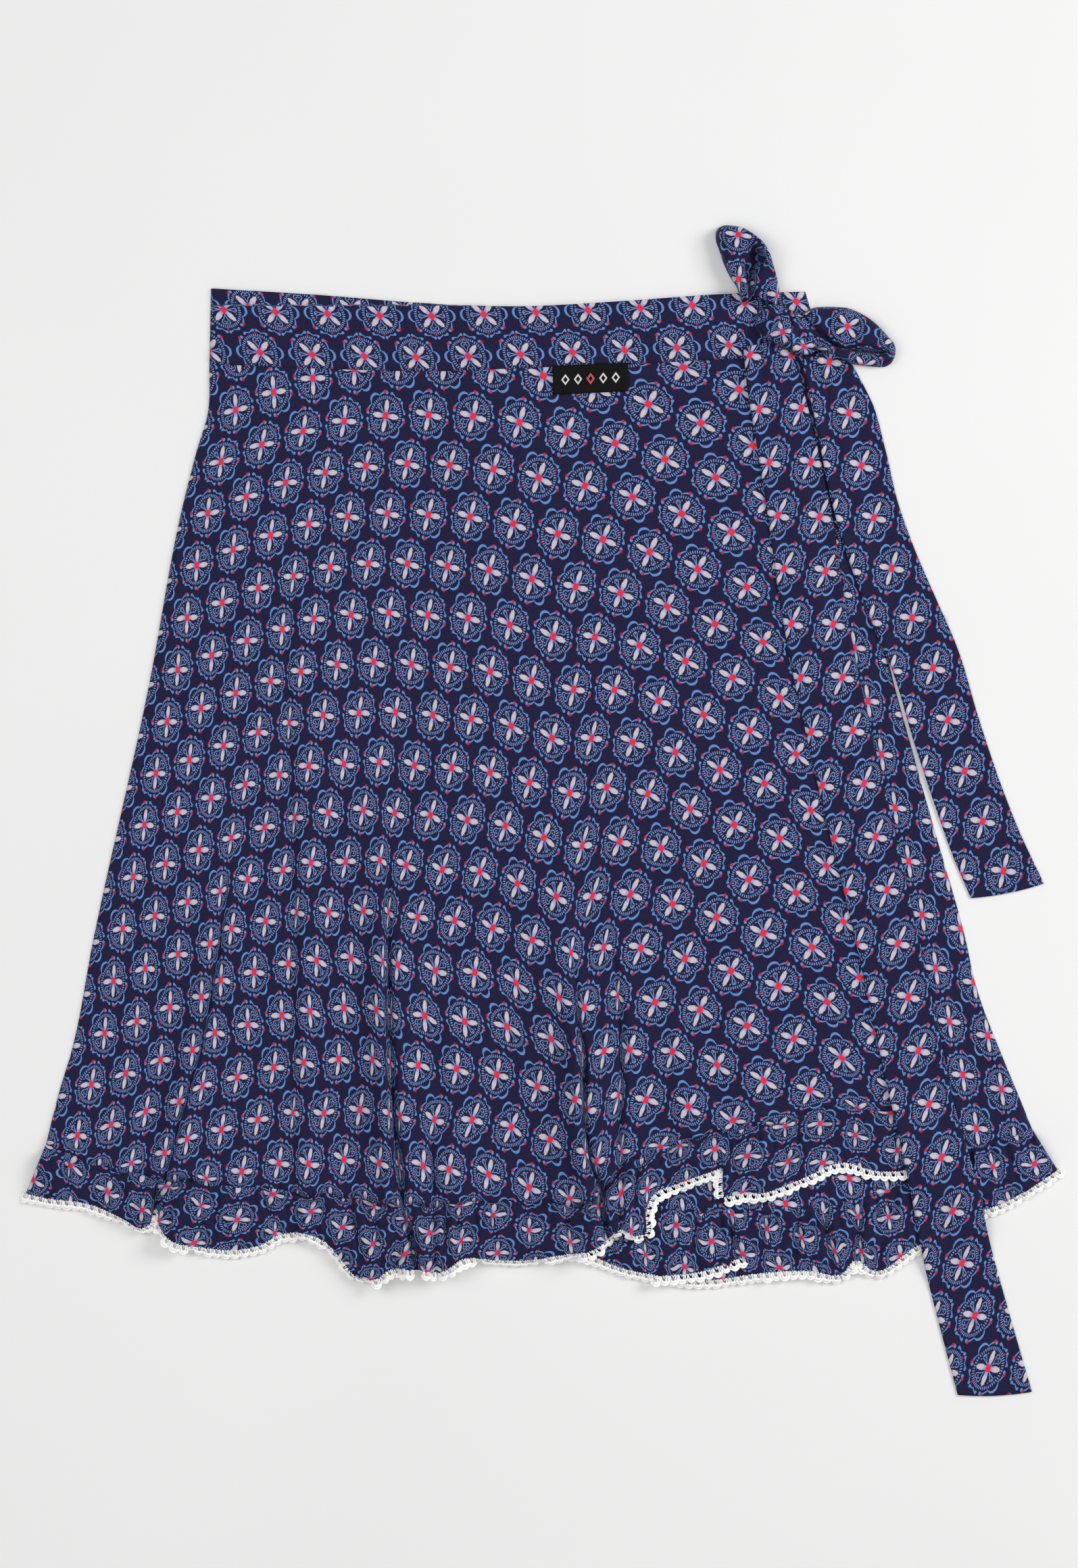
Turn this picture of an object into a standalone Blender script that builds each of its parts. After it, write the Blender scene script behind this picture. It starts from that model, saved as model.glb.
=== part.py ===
"""A wrap skirt laid flat on a surface, with its bow tied.

The skirt is seen as it lies: +X is to the right, +Y runs from the hem to the waist, +Z is up and
Z = 0 is the surface. Sizes below are in millimetres and are turned to metres when a mesh is made.

Every cut piece is a wall of its own. The pieces are laid one after another from the surface up:
a pile keeps the height of the cloth that is already there, and the next piece rests on it.
"""

import math
from collections import namedtuple

import bmesh
import bpy
import numpy as np

METRE = 0.001

# ---------------------------------------------------------------- driving dimensions
WALL = 1.2  # thickness of the cloth
LACE_WALL = 1.0
WAIST_WIDTH = 383.0  # laid flat, from fold to fold
BAND_COLUMNS = 18
GAP = 0.3  # between two pieces that touch or are sewn together
LACE_DEPTH = 9.0
LACE_SAG = 1.0  # how far the lace droops below the cloth's edge
SKIRT_LENGTH = 530.0  # panel, from the waist seam to the gathered strip
RUFFLE_DEPTH = 40.0
SIDE_INSET = 5.0  # the back stays this far inside a side fold
FOLD_WALL = 1.3  # how far in a side fold reaches down to the surface
FOLD_EDGE_HEIGHT = 0.6  # a side fold's height at its edge, as a share of the cloth beside it
FOLD_INNER_HEIGHT = 0.92  # and one row further in
LABEL_WIDTH = 48.0
LABEL_DEPTH = 18.0
LABEL_LEFT = 6.0
LABEL_TOP = 283.0
LABEL_WALL = 0.8
CELL = 1.5  # grid of the pile
FLAT_BELOW = 0.25  # a sheet this close to the surface lies on it
TIE_END_TURN = math.tan(math.radians(13))  # the ties' ends are cut a little off square
TIE_END_FROM = 0.85  # share of a tie's length where its end starts to turn
HIDDEN_GATHERS = 0.2  # height of the gathers under another panel, as a share of the free ones
HIDDEN_FADE = 30.0  # over which they grow to their full height

Point = namedtuple("Point", "x y")
Fold = namedtuple("Fold", "top_x top_y foot_x foot_y side height rise fall")
Stretch = namedtuple("Stretch", "x y width")
Loop = namedtuple("Loop", "root_x root_y tip_x tip_y width height lean")
Layer = namedtuple("Layer", "name columns rows strip_columns strip_rows waves rise shown_from"
                   " seed folded")
Drift = namedtuple("Drift", "cycles turns amount")

# stretches of the band that each layer shows, as shares of the waist
BAND_BACK = (0.013, 0.987)
BAND_INNER = (0.45, 1.0)
BAND_OUTER = (0.0, 0.93)

# How far round each of its points, along x and y, a piece looks for cloth to rest on
PANEL_REACH = (10.0, 10.0)
BAND_REACH = (22.0, 25.0)
TIE_REACH = (7.0, 18.0)
LACE_REACH = (5.0, 5.0)
LABEL_REACH = (3.0, 3.0)
SEWN_REACH = (2.0, 2.0)
LOOP_REACH = (8.0, 8.0)
KNOT_REACH = (10.0, 8.0)

# Slow drifts along a gathered strip: cycles on its length, turns of its seed, and size.
# Two of them shift the waves, and the last one makes some lower than others.
GATHER_SHIFTS = [Drift(3.3, 1, 0.32), Drift(7.9, 2, 0.21)]
GATHER_SIZES = Drift(5.3, 3, 0.28)

# ---------------------------------------------------------------- edges of the flat pieces
WAIST_TOP = [Point(-211, 331), Point(-145, 327), Point(-66, 321), Point(-20, 319.5),
             Point(54, 323), Point(110, 327), Point(167, 329)]
WAIST_SEAM = [Point(-212, 283), Point(-139, 280), Point(-65, 278.5), Point(-7, 280.5),
              Point(60, 283), Point(120, 286), Point(179, 288)]
LEFT_SIDE = [Point(-212, 283), Point(-213, 252), Point(-220, 228), Point(-228, 197),
             Point(-251, 76), Point(-286, -84), Point(-300, -155), Point(-307, -178),
             Point(-316, -213)]
RIGHT_SIDE = [Point(179, 288), Point(190, 240), Point(207, 160), Point(220, 93),
              Point(235, 37), Point(252, -23), Point(268, -79), Point(276, -114),
              Point(293, -159), Point(305, -188), Point(311, -203)]
WRAP_EDGE = [Point(150, 287), Point(160, 213), Point(176, 117), Point(190, 50),
             Point(202, -14), Point(221, -94), Point(242, -194)]
UNDER_EDGE = [Point(-40, 279), Point(-55, 100), Point(-70, -100), Point(-80, -246)]

# seams between the panels and their gathered strips
OUTER_SEAM = [Point(-316, -213), Point(-296, -222), Point(-249, -234), Point(-192, -240),
              Point(-134, -246), Point(-86, -252), Point(-26, -249), Point(29, -249),
              Point(50, -229), Point(96, -209), Point(133, -203), Point(184, -190),
              Point(242, -194)]
INNER_SEAM = [Point(-80, -246), Point(20, -250), Point(120, -256), Point(188, -252),
              Point(237, -236), Point(275, -216), Point(311, -203)]
BACK_SEAM = [Point(-316, -213), Point(-230, -236), Point(-120, -247), Point(0, -250),
             Point(120, -252), Point(230, -237), Point(311, -203)]

# lower edges of the gathered strips, from left to right
OUTER_HEM = [Point(-329, -245), Point(-316, -248), Point(-288, -252), Point(-268, -260),
             Point(-253, -266), Point(-238, -273), Point(-218, -279), Point(-198, -281),
             Point(-180, -278), Point(-166, -271), Point(-152, -270), Point(-138, -276),
             Point(-129, -286), Point(-119, -297), Point(-106, -299), Point(-97, -293),
             Point(-79, -293), Point(-64, -294), Point(-50, -286), Point(-30, -287),
             Point(-8, -287), Point(14, -283), Point(30, -283), Point(44, -273),
             Point(56, -275), Point(68, -271), Point(75, -252), Point(90, -243),
             Point(104, -238), Point(112, -249), Point(137, -248), Point(164, -239),
             Point(190, -229), Point(211, -233), Point(250, -231)]
INNER_HEM = [Point(-86, -282), Point(0, -280), Point(32, -285), Point(46, -291),
             Point(72, -297), Point(105, -300), Point(136, -296), Point(168, -294),
             Point(190, -296), Point(199, -288), Point(210, -294), Point(237, -279),
             Point(262, -266), Point(279, -256), Point(291, -252), Point(306, -244),
             Point(327.8, -230)]
BACK_HEM = [Point(-320, -236), Point(-288, -245), Point(-250, -260), Point(-200, -268),
            Point(-150, -266), Point(-110, -280), Point(-60, -280), Point(0, -277),
            Point(60, -284), Point(120, -290), Point(190, -288), Point(237, -270),
            Point(280, -246), Point(317, -223)]

# Soft folds of the laid cloth: a steep face of width rise falls from the ridge to the line,
# on the line's side (-1 left, 1 right), and the ridge fades over fall on its far side.
OUTER_FOLDS = [
    Fold(-158, 176, -160, -40, 1, 3.0, 9, 34),
    Fold(-96, 140, -91, -290, -1, 9.0, 7, 46),
    Fold(-70, -60, -64, -300, 1, 5.0, 7, 26),
    Fold(22, 60, 42, -270, -1, 8.0, 7, 42),
    Fold(70, -60, 84, -250, 1, 3.5, 9, 30),
    Fold(-196, 60, -206, -290, -1, 5.0, 9, 34),
    Fold(-240, -60, -258, -270, -1, 4.0, 8, 24),
    Fold(128, 30, 152, -240, -1, 3.0, 10, 32),
]
INNER_FOLDS = [
    Fold(244, 0, 282, -260, -1, 3.0, 8, 22),
    Fold(262, -90, 304, -250, 1, 2.0, 6, 12),
]

# The ties, from the knot to the free end: middle line and width
LONG_TIE = [Stretch(142, 296, 30), Stretch(147, 270, 35), Stretch(155, 232, 38),
            Stretch(163, 190, 41), Stretch(170, 140, 41), Stretch(179, 90, 41),
            Stretch(190, 40, 41), Stretch(203, -15, 41), Stretch(216, -70, 40),
            Stretch(229, -130, 40), Stretch(243, -195, 39), Stretch(253, -235, 42),
            Stretch(264, -285, 44), Stretch(276, -330, 45), Stretch(287.5, -371.6, 46)]
SHORT_TIE = [Stretch(176, 290, 26), Stretch(184, 272, 33), Stretch(192, 250, 39),
             Stretch(199, 220, 41), Stretch(206, 190, 41), Stretch(216, 160, 42),
             Stretch(230, 125, 44), Stretch(243, 95, 44), Stretch(256, 52, 44),
             Stretch(270, 10, 44), Stretch(282, -22, 45), Stretch(295.5, -52, 46)]

# Bow: each loop leaves the knot, rises, and turns back at its tip
LOOP_UP = Loop(142.2, 316.2, 117, 371, 30, 15, 7)
LOOP_SIDE = Loop(175.0, 303, 224, 293, 30, 10, -6)
KNOT_PLACE = Point(156, 305)
KNOT_SIZE = (42.0, 21.0, 13.0)
KNOT_TURN = math.radians(-27)
KNOT_FLAT = 0.3  # where the round knot is pressed flat, as a share of its height from the middle
KNOT_PINCH = 0.16  # how much its waist is drawn in
KNOT_PINCH_WIDTH = 0.12
KNOT_SIDES = 16
KNOT_RINGS = 8
LOOP_OPEN = 0.06  # share of a loop's way that its two roots leave open
LOOP_STEPS = 18
LOOP_COLUMNS = 6
LOOP_NECK = 0.55  # width at the roots, as a share of the full width
LOOP_LEAN_HEIGHT = 0.5  # how much more one side of a leaning loop stands up than the other
LOOP_HEIGHT_SHARE = 0.75  # height of its middle, as a share of the loop's
LOOP_CORNER = 4.0  # how much sooner the band's edges turn back than its middle

# colours (sRGB), one for each finish
NAVY_PRINT = "2A2E55"
LACE_WHITE = "F3F1EF"
LABEL_BLACK = "131115"


# ---------------------------------------------------------------- lines and patches
def curve(points):
    """A smooth line through the points, as a function of the share of its length."""
    pts = np.array([tuple(p)[:2] for p in points], float)
    steps = np.hypot(*np.diff(pts, axis=0).T)
    knots = np.concatenate([[0.0], np.cumsum(steps)]) / steps.sum()
    slopes = np.gradient(pts, knots, axis=0)

    def at(share):
        share = np.asarray(share, float)
        i = np.clip(np.searchsorted(knots, share, side="right") - 1, 0, len(knots) - 2)
        width = knots[i + 1] - knots[i]
        t = ((share - knots[i]) / width)[..., None]
        width = width[..., None]
        return (
            (2 * t**3 - 3 * t**2 + 1) * pts[i]
            + (t**3 - 2 * t**2 + t) * width * slopes[i]
            + (3 * t**2 - 2 * t**3) * pts[i + 1]
            + (t**3 - t**2) * width * slopes[i + 1]
        )

    return at


def cut_short(line, first, last):
    """The stretch of a line between two shares of its length."""
    return lambda share: line(first + (last - first) * np.asarray(share, float))


def share_at_x(line, x):
    """Where a line that runs from left to right passes x."""
    shares = np.linspace(0, 1, 400)
    return float(np.interp(x, line(shares)[:, 0], shares))


def drawn_in(line, first, last):
    """A line moved along x: by first at its start and by last at its end."""

    def at(share):
        shift = first + (last - first) * np.asarray(share, float)
        return line(share) + np.stack([shift, np.zeros_like(shift)], -1)

    return at


def patch(top, bottom, left, right, across, down):
    """Points between four edges, as rows from top to bottom."""
    u = np.asarray(across)[None, :, None]
    v = np.asarray(down)[:, None, None]
    edges = (
        (1 - v) * top(across)[None] + v * bottom(across)[None]
        + (1 - u) * left(down)[:, None] + u * right(down)[:, None]
    )
    corners = (
        (1 - u) * (1 - v) * top(0.0) + u * (1 - v) * top(1.0)
        + (1 - u) * v * bottom(0.0) + u * v * bottom(1.0)
    )
    return edges - corners


def strip(top, bottom, across, down):
    """Points of a strip ruled between two long edges."""
    v = np.asarray(down)[:, None, None]
    return (1 - v) * top(across)[None] + v * bottom(across)[None]


def smoothstep(t):
    t = np.clip(t, 0, 1)
    return t * t * (3 - 2 * t)


def fold_height(folds, xy):
    """Height that the soft folds add at each point."""
    total = np.zeros(xy.shape[:-1])
    for f in folds:
        run = (f.top_y - xy[..., 1]) / (f.top_y - f.foot_y)
        line_x = f.top_x + (f.foot_x - f.top_x) * run
        away = (xy[..., 0] - line_x) * f.side
        ridge = smoothstep(away / f.rise) * smoothstep((f.rise + f.fall - away) / f.fall)
        total += f.height * smoothstep(run) ** 0.8 * ridge
    return total


def gathers(shares, waves, seed):
    """Uneven waves along a gathered strip, 0 in the hollows and 1 on the crests."""

    def sway(drift):
        return drift.amount * np.sin(2 * math.pi * (drift.cycles * shares + drift.turns * seed))

    phase = waves * shares + sum(sway(drift) for drift in GATHER_SHIFTS)
    size = 1 - GATHER_SIZES.amount + sway(GATHER_SIZES)
    return size * (0.5 - 0.5 * np.cos(2 * math.pi * phase))


# ---------------------------------------------------------------- the pile
class Pile:
    """Height of the cloth laid so far, on a square grid over the surface."""

    def __init__(self, reach_x=360.0, reach_y=400.0):
        self.low = np.array([-reach_x, -reach_y])
        self.top = np.zeros((int(2 * reach_x / CELL), int(2 * reach_y / CELL)))
        self.laid = []

    def close_layer(self):
        """Pieces sewn edge to edge share a layer: they count for what is laid after it."""
        for xy, high in self.laid:
            self.raise_to(xy, high)
        self.laid = []

    def cells(self, xy):
        place = np.floor((xy - self.low) / CELL).astype(int)
        limit = np.array(self.top.shape) - 1
        return np.clip(place, 0, limit)

    def raise_to(self, xy, high):
        """Lifts the pile's top to a sheet's upper face, given as a grid of its points."""
        grid = np.dstack([xy, high])
        for axis in (0, 1):
            step = np.abs(np.diff(grid[..., :2], axis=axis)).max()
            parts = int(math.ceil(step / (0.7 * CELL)))
            at = np.linspace(0, grid.shape[axis] - 1, (grid.shape[axis] - 1) * parts + 1)
            first = np.minimum(at.astype(int), grid.shape[axis] - 2)
            shape = [1, 1, 1]
            shape[axis] = len(at)
            t = (at - first).reshape(shape)
            grid = (1 - t) * np.take(grid, first, axis) + t * np.take(grid, first + 1, axis)
        place = self.cells(grid[..., :2]).reshape(-1, 2)
        np.maximum.at(self.top, (place[:, 0], place[:, 1]), grid[..., 2].ravel())

    def under(self, xy, reach_x, reach_y):
        """Lowest height at which a sheet can pass each point, within the reach round it."""
        field = self.top
        for axis, reach in ((0, reach_x), (1, reach_y)):
            cells = int(math.ceil(reach / CELL)) + 1
            spread = field.copy()
            for shift in range(1, cells + 1):
                ahead = np.roll(field, shift, axis)
                behind = np.roll(field, -shift, axis)
                spread = np.maximum(spread, np.maximum(ahead, behind))
            field = spread
        place = self.cells(xy)
        found = field[place[..., 0], place[..., 1]]
        return np.where(found > 0, found + GAP, 0.0)


def softened(need, passes):
    """Heights that run smoothly and are nowhere lower than what they have to clear."""
    z = need.copy()
    for _ in range(passes):
        wide = np.pad(z, 1, mode="edge")
        around = wide[:-2, 1:-1] + wide[2:, 1:-1] + wide[1:-1, :-2] + wide[1:-1, 2:]
        z = np.maximum(need, around / 4)
    return z


# ---------------------------------------------------------------- materials and meshes
def linear(hex_colour):
    """An sRGB hex colour as linear red, green, blue and alpha."""
    parts = [int(hex_colour[i : i + 2], 16) / 255 for i in (0, 2, 4)]
    return [c / 12.92 if c <= 0.04045 else ((c + 0.055) / 1.055) ** 2.4 for c in parts] + [1.0]


def finish(name, colour, roughness):
    """A plain Principled material of one colour."""
    material = bpy.data.materials.new(name)
    material.use_nodes = True
    shader = material.node_tree.nodes["Principled BSDF"]
    shader.inputs["Base Color"].default_value = linear(colour)
    shader.inputs["Roughness"].default_value = roughness
    shader.inputs["Metallic"].default_value = 0.0
    return material


def place_in_part(name, mesh, colour, roughness):
    """Makes the mesh a named object of the skirt, with a material of its own."""
    item = bpy.data.objects.new(name, mesh)
    mesh.materials.append(finish(name + "_finish", colour, roughness))
    bpy.data.collections["wrap_skirt"].objects.link(item)
    return item


def wall_object(name, xy, low, high, colour, roughness=0.8):
    """A closed wall: the grid of under points, and the upper points straight above them."""
    rows, cols = low.shape
    bm = bmesh.new()
    bmesh.ops.create_grid(bm, x_segments=cols - 1, y_segments=rows - 1, size=1.0)
    made = bmesh.ops.extrude_face_region(bm, geom=bm.faces[:])
    upper = {v for v in made["geom"] if isinstance(v, bmesh.types.BMVert)}
    for v in bm.verts:
        col = round((v.co.x + 1) / 2 * (cols - 1))
        row = round((1 - v.co.y) / 2 * (rows - 1))
        z = high[row, col] if v in upper else low[row, col]
        v.co = (xy[row, col, 0] * METRE, xy[row, col, 1] * METRE, z * METRE)
    bmesh.ops.recalc_face_normals(bm, faces=bm.faces[:])
    mesh = bpy.data.meshes.new(name)
    bm.to_mesh(mesh)
    bm.free()
    return place_in_part(name, mesh, colour, roughness)


def slant(xy, z):
    """How much longer a wall's upright thickness is where the cloth slopes."""
    run_x = np.hypot(*np.moveaxis(np.gradient(xy, axis=1), -1, 0)) + 1e-6
    run_y = np.hypot(*np.moveaxis(np.gradient(xy, axis=0), -1, 0)) + 1e-6
    slope = np.hypot(np.gradient(z, axis=1) / run_x, np.gradient(z, axis=0) / run_y)
    return np.sqrt(1 + np.minimum(slope, 1.5) ** 2)


def lay(pile, name, xy, lift=0.0, reach=PANEL_REACH, passes=6, first_row=None,
        folded=(False, False), wall=WALL, colour=NAVY_PRINT):
    """Lays one piece on the pile and returns its under heights.

    lift is added to the height of what lies below. first_row gives the heights along the upper
    edge, where the piece is sewn to one above it. folded says at which sides, left and right,
    the cloth turns down to the surface.
    """
    need = pile.under(xy, *reach)
    low = softened(need, passes)
    low[low < FLAT_BELOW] = 0.0
    low = low + lift
    if first_row is not None:
        low[0] = np.maximum(first_row, pile.under(xy[0], *SEWN_REACH))
    high = low + wall * slant(xy, low)
    for side, turned in zip((1, -1), folded):
        if turned:
            edge, inner = (0, 1) if side == 1 else (-1, -2)
            low[:, edge] = 0.0
            low[:, inner] = 0.0
            high[:, edge] *= FOLD_EDGE_HEIGHT
            high[:, inner] *= FOLD_INNER_HEIGHT
    wall_object(name, xy, low, high, colour)
    pile.laid.append((xy, high))
    return low


def along(points_xy, heights, at_xy):
    """Heights along one edge, read at the x of another edge's points."""
    order = np.argsort(points_xy[:, 0])
    return np.interp(at_xy[:, 0], points_xy[order, 0], heights[order])


def across_shares(count, width, folded=(False, False)):
    """Shares across a panel: even steps, with close ones at a side fold."""
    shares = np.linspace(0, 1, count)
    near = np.array([FOLD_WALL, FOLD_WALL + 1.2]) / width
    if folded[0]:
        shares = np.concatenate([[0], near, shares[1:]])
    if folded[1]:
        shares = np.concatenate([shares[:-1], 1 - near[::-1], [1]])
    return shares


# ---------------------------------------------------------------- the skirt's pieces
def skirt_layer(pile, shape, top, seam, hem, left, right, folds):
    """One panel with its gathered strip and its lace."""
    length = np.hypot(*np.diff(seam(np.linspace(0, 1, 50)), axis=0).T).sum()
    shares = across_shares(shape.columns, length, shape.folded)
    down = np.linspace(0, 1, shape.rows)
    panel = patch(top, seam, left, right, shares, down)
    reach = (length / shape.columns, SKIRT_LENGTH / shape.rows)
    panel_z = lay(pile, shape.name + "_panel", panel, fold_height(folds, panel), reach,
                  folded=shape.folded)

    shares = across_shares(shape.strip_columns, length, shape.folded)
    depth = np.linspace(0, 1, shape.strip_rows)
    depth[0] = GAP / RUFFLE_DEPTH
    ruffle = strip(seam, hem, shares, depth)
    free = smoothstep((ruffle[..., 0] - shape.shown_from) / HIDDEN_FADE)
    shown = HIDDEN_GATHERS + (1 - HIDDEN_GATHERS) * free
    wave = gathers(shares, shape.waves, shape.seed)
    lift = fold_height(folds, ruffle) + shape.rise * shown * depth[:, None] * wave[None]
    sewn = along(panel[-1], panel_z[-1], ruffle[0])
    reach = (length / shape.strip_columns, RUFFLE_DEPTH / (shape.strip_rows - 1))
    ruffle_z = lay(pile, shape.name + "_ruffle", ruffle, lift, reach, 8, sewn, shape.folded)

    fall = ruffle[-1] - ruffle[1]
    fall = fall / np.linalg.norm(fall, axis=1)[:, None]
    lace = np.stack([ruffle[-1] + fall * GAP, ruffle[-1] + fall * (LACE_DEPTH + GAP)])
    lace_low = np.stack([ruffle_z[-1], np.maximum(ruffle_z[-1] - LACE_SAG, 0.0)])
    lace_low = np.maximum(lace_low, pile.under(lace, *LACE_REACH))
    lace_high = lace_low + LACE_WALL * slant(lace, lace_low)
    wall_object(shape.name + "_lace", lace, lace_low, lace_high, LACE_WHITE)
    pile.laid.append((lace, lace_high))


def waistband(pile, name, stretch, folded):
    """A stretch of the band, between two shares of the waist."""
    first, last = stretch
    seam = cut_short(curve(WAIST_SEAM), first, last)
    top = cut_short(curve(WAIST_TOP), first, last)
    shares = across_shares(BAND_COLUMNS, WAIST_WIDTH * (last - first), folded)
    xy = strip(top, seam, shares, [0, 0.5, 1])
    xy[-1, :, 1] += GAP
    lay(pile, name, xy, 0.0, BAND_REACH, folded=folded)


def back(pile):
    seam = curve(WAIST_SEAM)
    left = drawn_in(curve(LEFT_SIDE), SIDE_INSET, SIDE_INSET)
    right = drawn_in(curve(RIGHT_SIDE), -SIDE_INSET, -SIDE_INSET)
    top = drawn_in(seam, SIDE_INSET, -SIDE_INSET)
    foot = drawn_in(curve(BACK_SEAM), SIDE_INSET, -SIDE_INSET)
    shape = Layer("back", columns=14, rows=13, strip_columns=84, strip_rows=3, waves=20,
                  rise=0.8, shown_from=-400, seed=0.3, folded=(False, False))
    skirt_layer(pile, shape, top, foot, curve(BACK_HEM), left, right, [])


def inner_front(pile):
    seam = curve(WAIST_SEAM)
    top = cut_short(seam, share_at_x(seam, UNDER_EDGE[0].x), 1.0)
    shape = Layer("inner_front", columns=20, rows=14, strip_columns=88, strip_rows=4, waves=18,
                  rise=2.4, shown_from=30, seed=0.7, folded=(False, True))
    skirt_layer(pile, shape, top, curve(INNER_SEAM), curve(INNER_HEM),
                curve(UNDER_EDGE), curve(RIGHT_SIDE), INNER_FOLDS)


def outer_front(pile):
    seam = curve(WAIST_SEAM)
    top = cut_short(seam, 0.0, share_at_x(seam, WRAP_EDGE[0].x))
    shape = Layer("outer_front", columns=44, rows=19, strip_columns=142, strip_rows=4, waves=27,
                  rise=2.8, shown_from=-400, seed=0.1, folded=(True, False))
    skirt_layer(pile, shape, top, curve(OUTER_SEAM), curve(OUTER_HEM),
                curve(LEFT_SIDE), curve(WRAP_EDGE), OUTER_FOLDS)


def tie(pile, name, stretches, columns=6):
    """A tie's flat band along its middle line, resting on whatever lies below."""
    middle = curve(stretches)
    count = 2 * len(stretches)
    shares = np.linspace(0, 1, count)
    centre = middle(shares)
    ahead = np.gradient(centre, axis=0)
    ahead = ahead / np.linalg.norm(ahead, axis=1)[:, None]
    right = np.stack([-ahead[:, 1], ahead[:, 0]], -1)
    given = np.array([s.width for s in stretches])
    steps = np.hypot(*np.diff(np.array([s[:2] for s in stretches]), axis=0).T)
    knots = np.concatenate([[0], np.cumsum(steps)]) / steps.sum()
    width = np.interp(shares, knots, given)
    aside = np.linspace(-0.5, 0.5, columns)[None] * width[:, None]
    turned = smoothstep((shares - TIE_END_FROM) / (1 - TIE_END_FROM))
    slip = aside * TIE_END_TURN * turned[:, None]
    xy = centre[:, None] + right[:, None] * aside[..., None] + ahead[:, None] * slip[..., None]
    lay(pile, name, xy, 0.0, TIE_REACH, 4)


def label(pile):
    """The woven tab lies over the waist seam, on the points of the band and the panel."""
    across = np.linspace(LABEL_LEFT, LABEL_LEFT + LABEL_WIDTH, 6)
    down = np.linspace(LABEL_TOP, LABEL_TOP - LABEL_DEPTH, 4)
    xy = np.stack(np.meshgrid(across, down), -1)
    lay(pile, "label", xy, 0.0, LABEL_REACH, wall=LABEL_WALL, colour=LABEL_BLACK)


def bow_loop(pile, name, loop):
    """A loop of the tie: a band that runs out, over and back, open at one side."""
    root = np.array([loop.root_x, loop.root_y])
    tip = np.array([loop.tip_x, loop.tip_y])
    run = tip - root
    length = np.linalg.norm(run)
    ahead = run / length
    beside = np.array([ahead[1], -ahead[0]])
    turns = np.linspace(LOOP_OPEN, 1 - LOOP_OPEN, LOOP_STEPS)
    widths = np.linspace(-0.5, 0.5, LOOP_COLUMNS)
    out = (1 - np.cos(2 * math.pi * turns)) / 2
    up = -np.sin(2 * math.pi * turns)
    plump = np.sin(math.pi * np.clip(out, 0.05, 0.95)) ** 0.5
    rest = float(pile.under(root[None], *LOOP_REACH).max())
    bm = bmesh.new()
    bmesh.ops.create_grid(bm, x_segments=len(turns) - 1, y_segments=len(widths) - 1, size=1.0)
    for v in bm.verts:
        i = round((v.co.x + 1) / 2 * (len(turns) - 1))
        w = widths[round((v.co.y + 1) / 2 * (len(widths) - 1))]
        broad = w * loop.width * (LOOP_NECK + (1 - LOOP_NECK) * plump[i])
        stands = LOOP_HEIGHT_SHARE + LOOP_LEAN_HEIGHT * w * np.sign(loop.lean)
        rise = loop.height / 2 * up[i] * stands
        sideways = broad - loop.lean / 2 * up[i]
        reach = length - LOOP_CORNER * (2 * w) ** 2
        spot = root + ahead * out[i] * reach + beside * sideways
        foot = (rest + WALL) * (1 - out[i]) + WALL * out[i]
        v.co = [c * METRE for c in (spot[0], spot[1], foot + loop.height / 2 + rise)]
    mesh = bpy.data.meshes.new(name)
    bm.to_mesh(mesh)
    bm.free()
    item = place_in_part(name, mesh, NAVY_PRINT, 0.8)
    shell = item.modifiers.new("cloth", "SOLIDIFY")
    shell.thickness = WALL * METRE
    shell.offset = 0.0
    shell.use_even_offset = True


def knot(pile):
    """The knot: a plump wrap of cloth across the roots of the loops and ties."""
    bm = bmesh.new()
    bmesh.ops.create_uvsphere(bm, u_segments=KNOT_SIDES, v_segments=KNOT_RINGS, radius=0.5)
    cos, sin = math.cos(KNOT_TURN), math.sin(KNOT_TURN)
    rest = float(pile.under(np.array([KNOT_PLACE]), *KNOT_REACH).max())
    for v in bm.verts:
        pinch = 1 - KNOT_PINCH * math.exp(-((v.co.x / KNOT_PINCH_WIDTH) ** 2))
        x = v.co.x * KNOT_SIZE[0]
        y = v.co.y * KNOT_SIZE[1] * pinch
        z = (max(v.co.z * pinch, -KNOT_FLAT) + KNOT_FLAT) * KNOT_SIZE[2] + rest
        place = (KNOT_PLACE.x + x * cos - y * sin, KNOT_PLACE.y + x * sin + y * cos, z)
        v.co = [c * METRE for c in place]
    mesh = bpy.data.meshes.new("bow_knot")
    bm.to_mesh(mesh)
    bm.free()
    mesh.shade_smooth()
    place_in_part("bow_knot", mesh, NAVY_PRINT, 0.8)


def build():
    for item in list(bpy.data.objects):
        bpy.data.objects.remove(item)
    collection = bpy.data.collections.new("wrap_skirt")
    bpy.context.scene.collection.children.link(collection)

    pile = Pile()
    back(pile)
    waistband(pile, "waistband_back", BAND_BACK, (False, False))
    pile.close_layer()
    inner_front(pile)
    waistband(pile, "waistband_inner", BAND_INNER, (False, True))
    pile.close_layer()
    outer_front(pile)
    waistband(pile, "waistband_outer", BAND_OUTER, (True, False))
    pile.close_layer()
    label(pile)
    tie(pile, "tie_long", LONG_TIE)
    pile.close_layer()
    tie(pile, "tie_short", SHORT_TIE)
    pile.close_layer()
    knot(pile)
    bow_loop(pile, "bow_loop_up", LOOP_UP)
    bow_loop(pile, "bow_loop_side", LOOP_SIDE)


build()
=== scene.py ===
# %% [markdown]
# # A wrap skirt, laid flat with its bow tied
# The skirt is flared crepe with a small flower print. It has a straight waistband, two front
# panels that lap over each other, a gathered strip with crochet lace at the hem, and two long
# ties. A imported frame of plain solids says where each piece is. This lesson dresses it.

# %% Load the frame
import math
from collections import namedtuple

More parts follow.
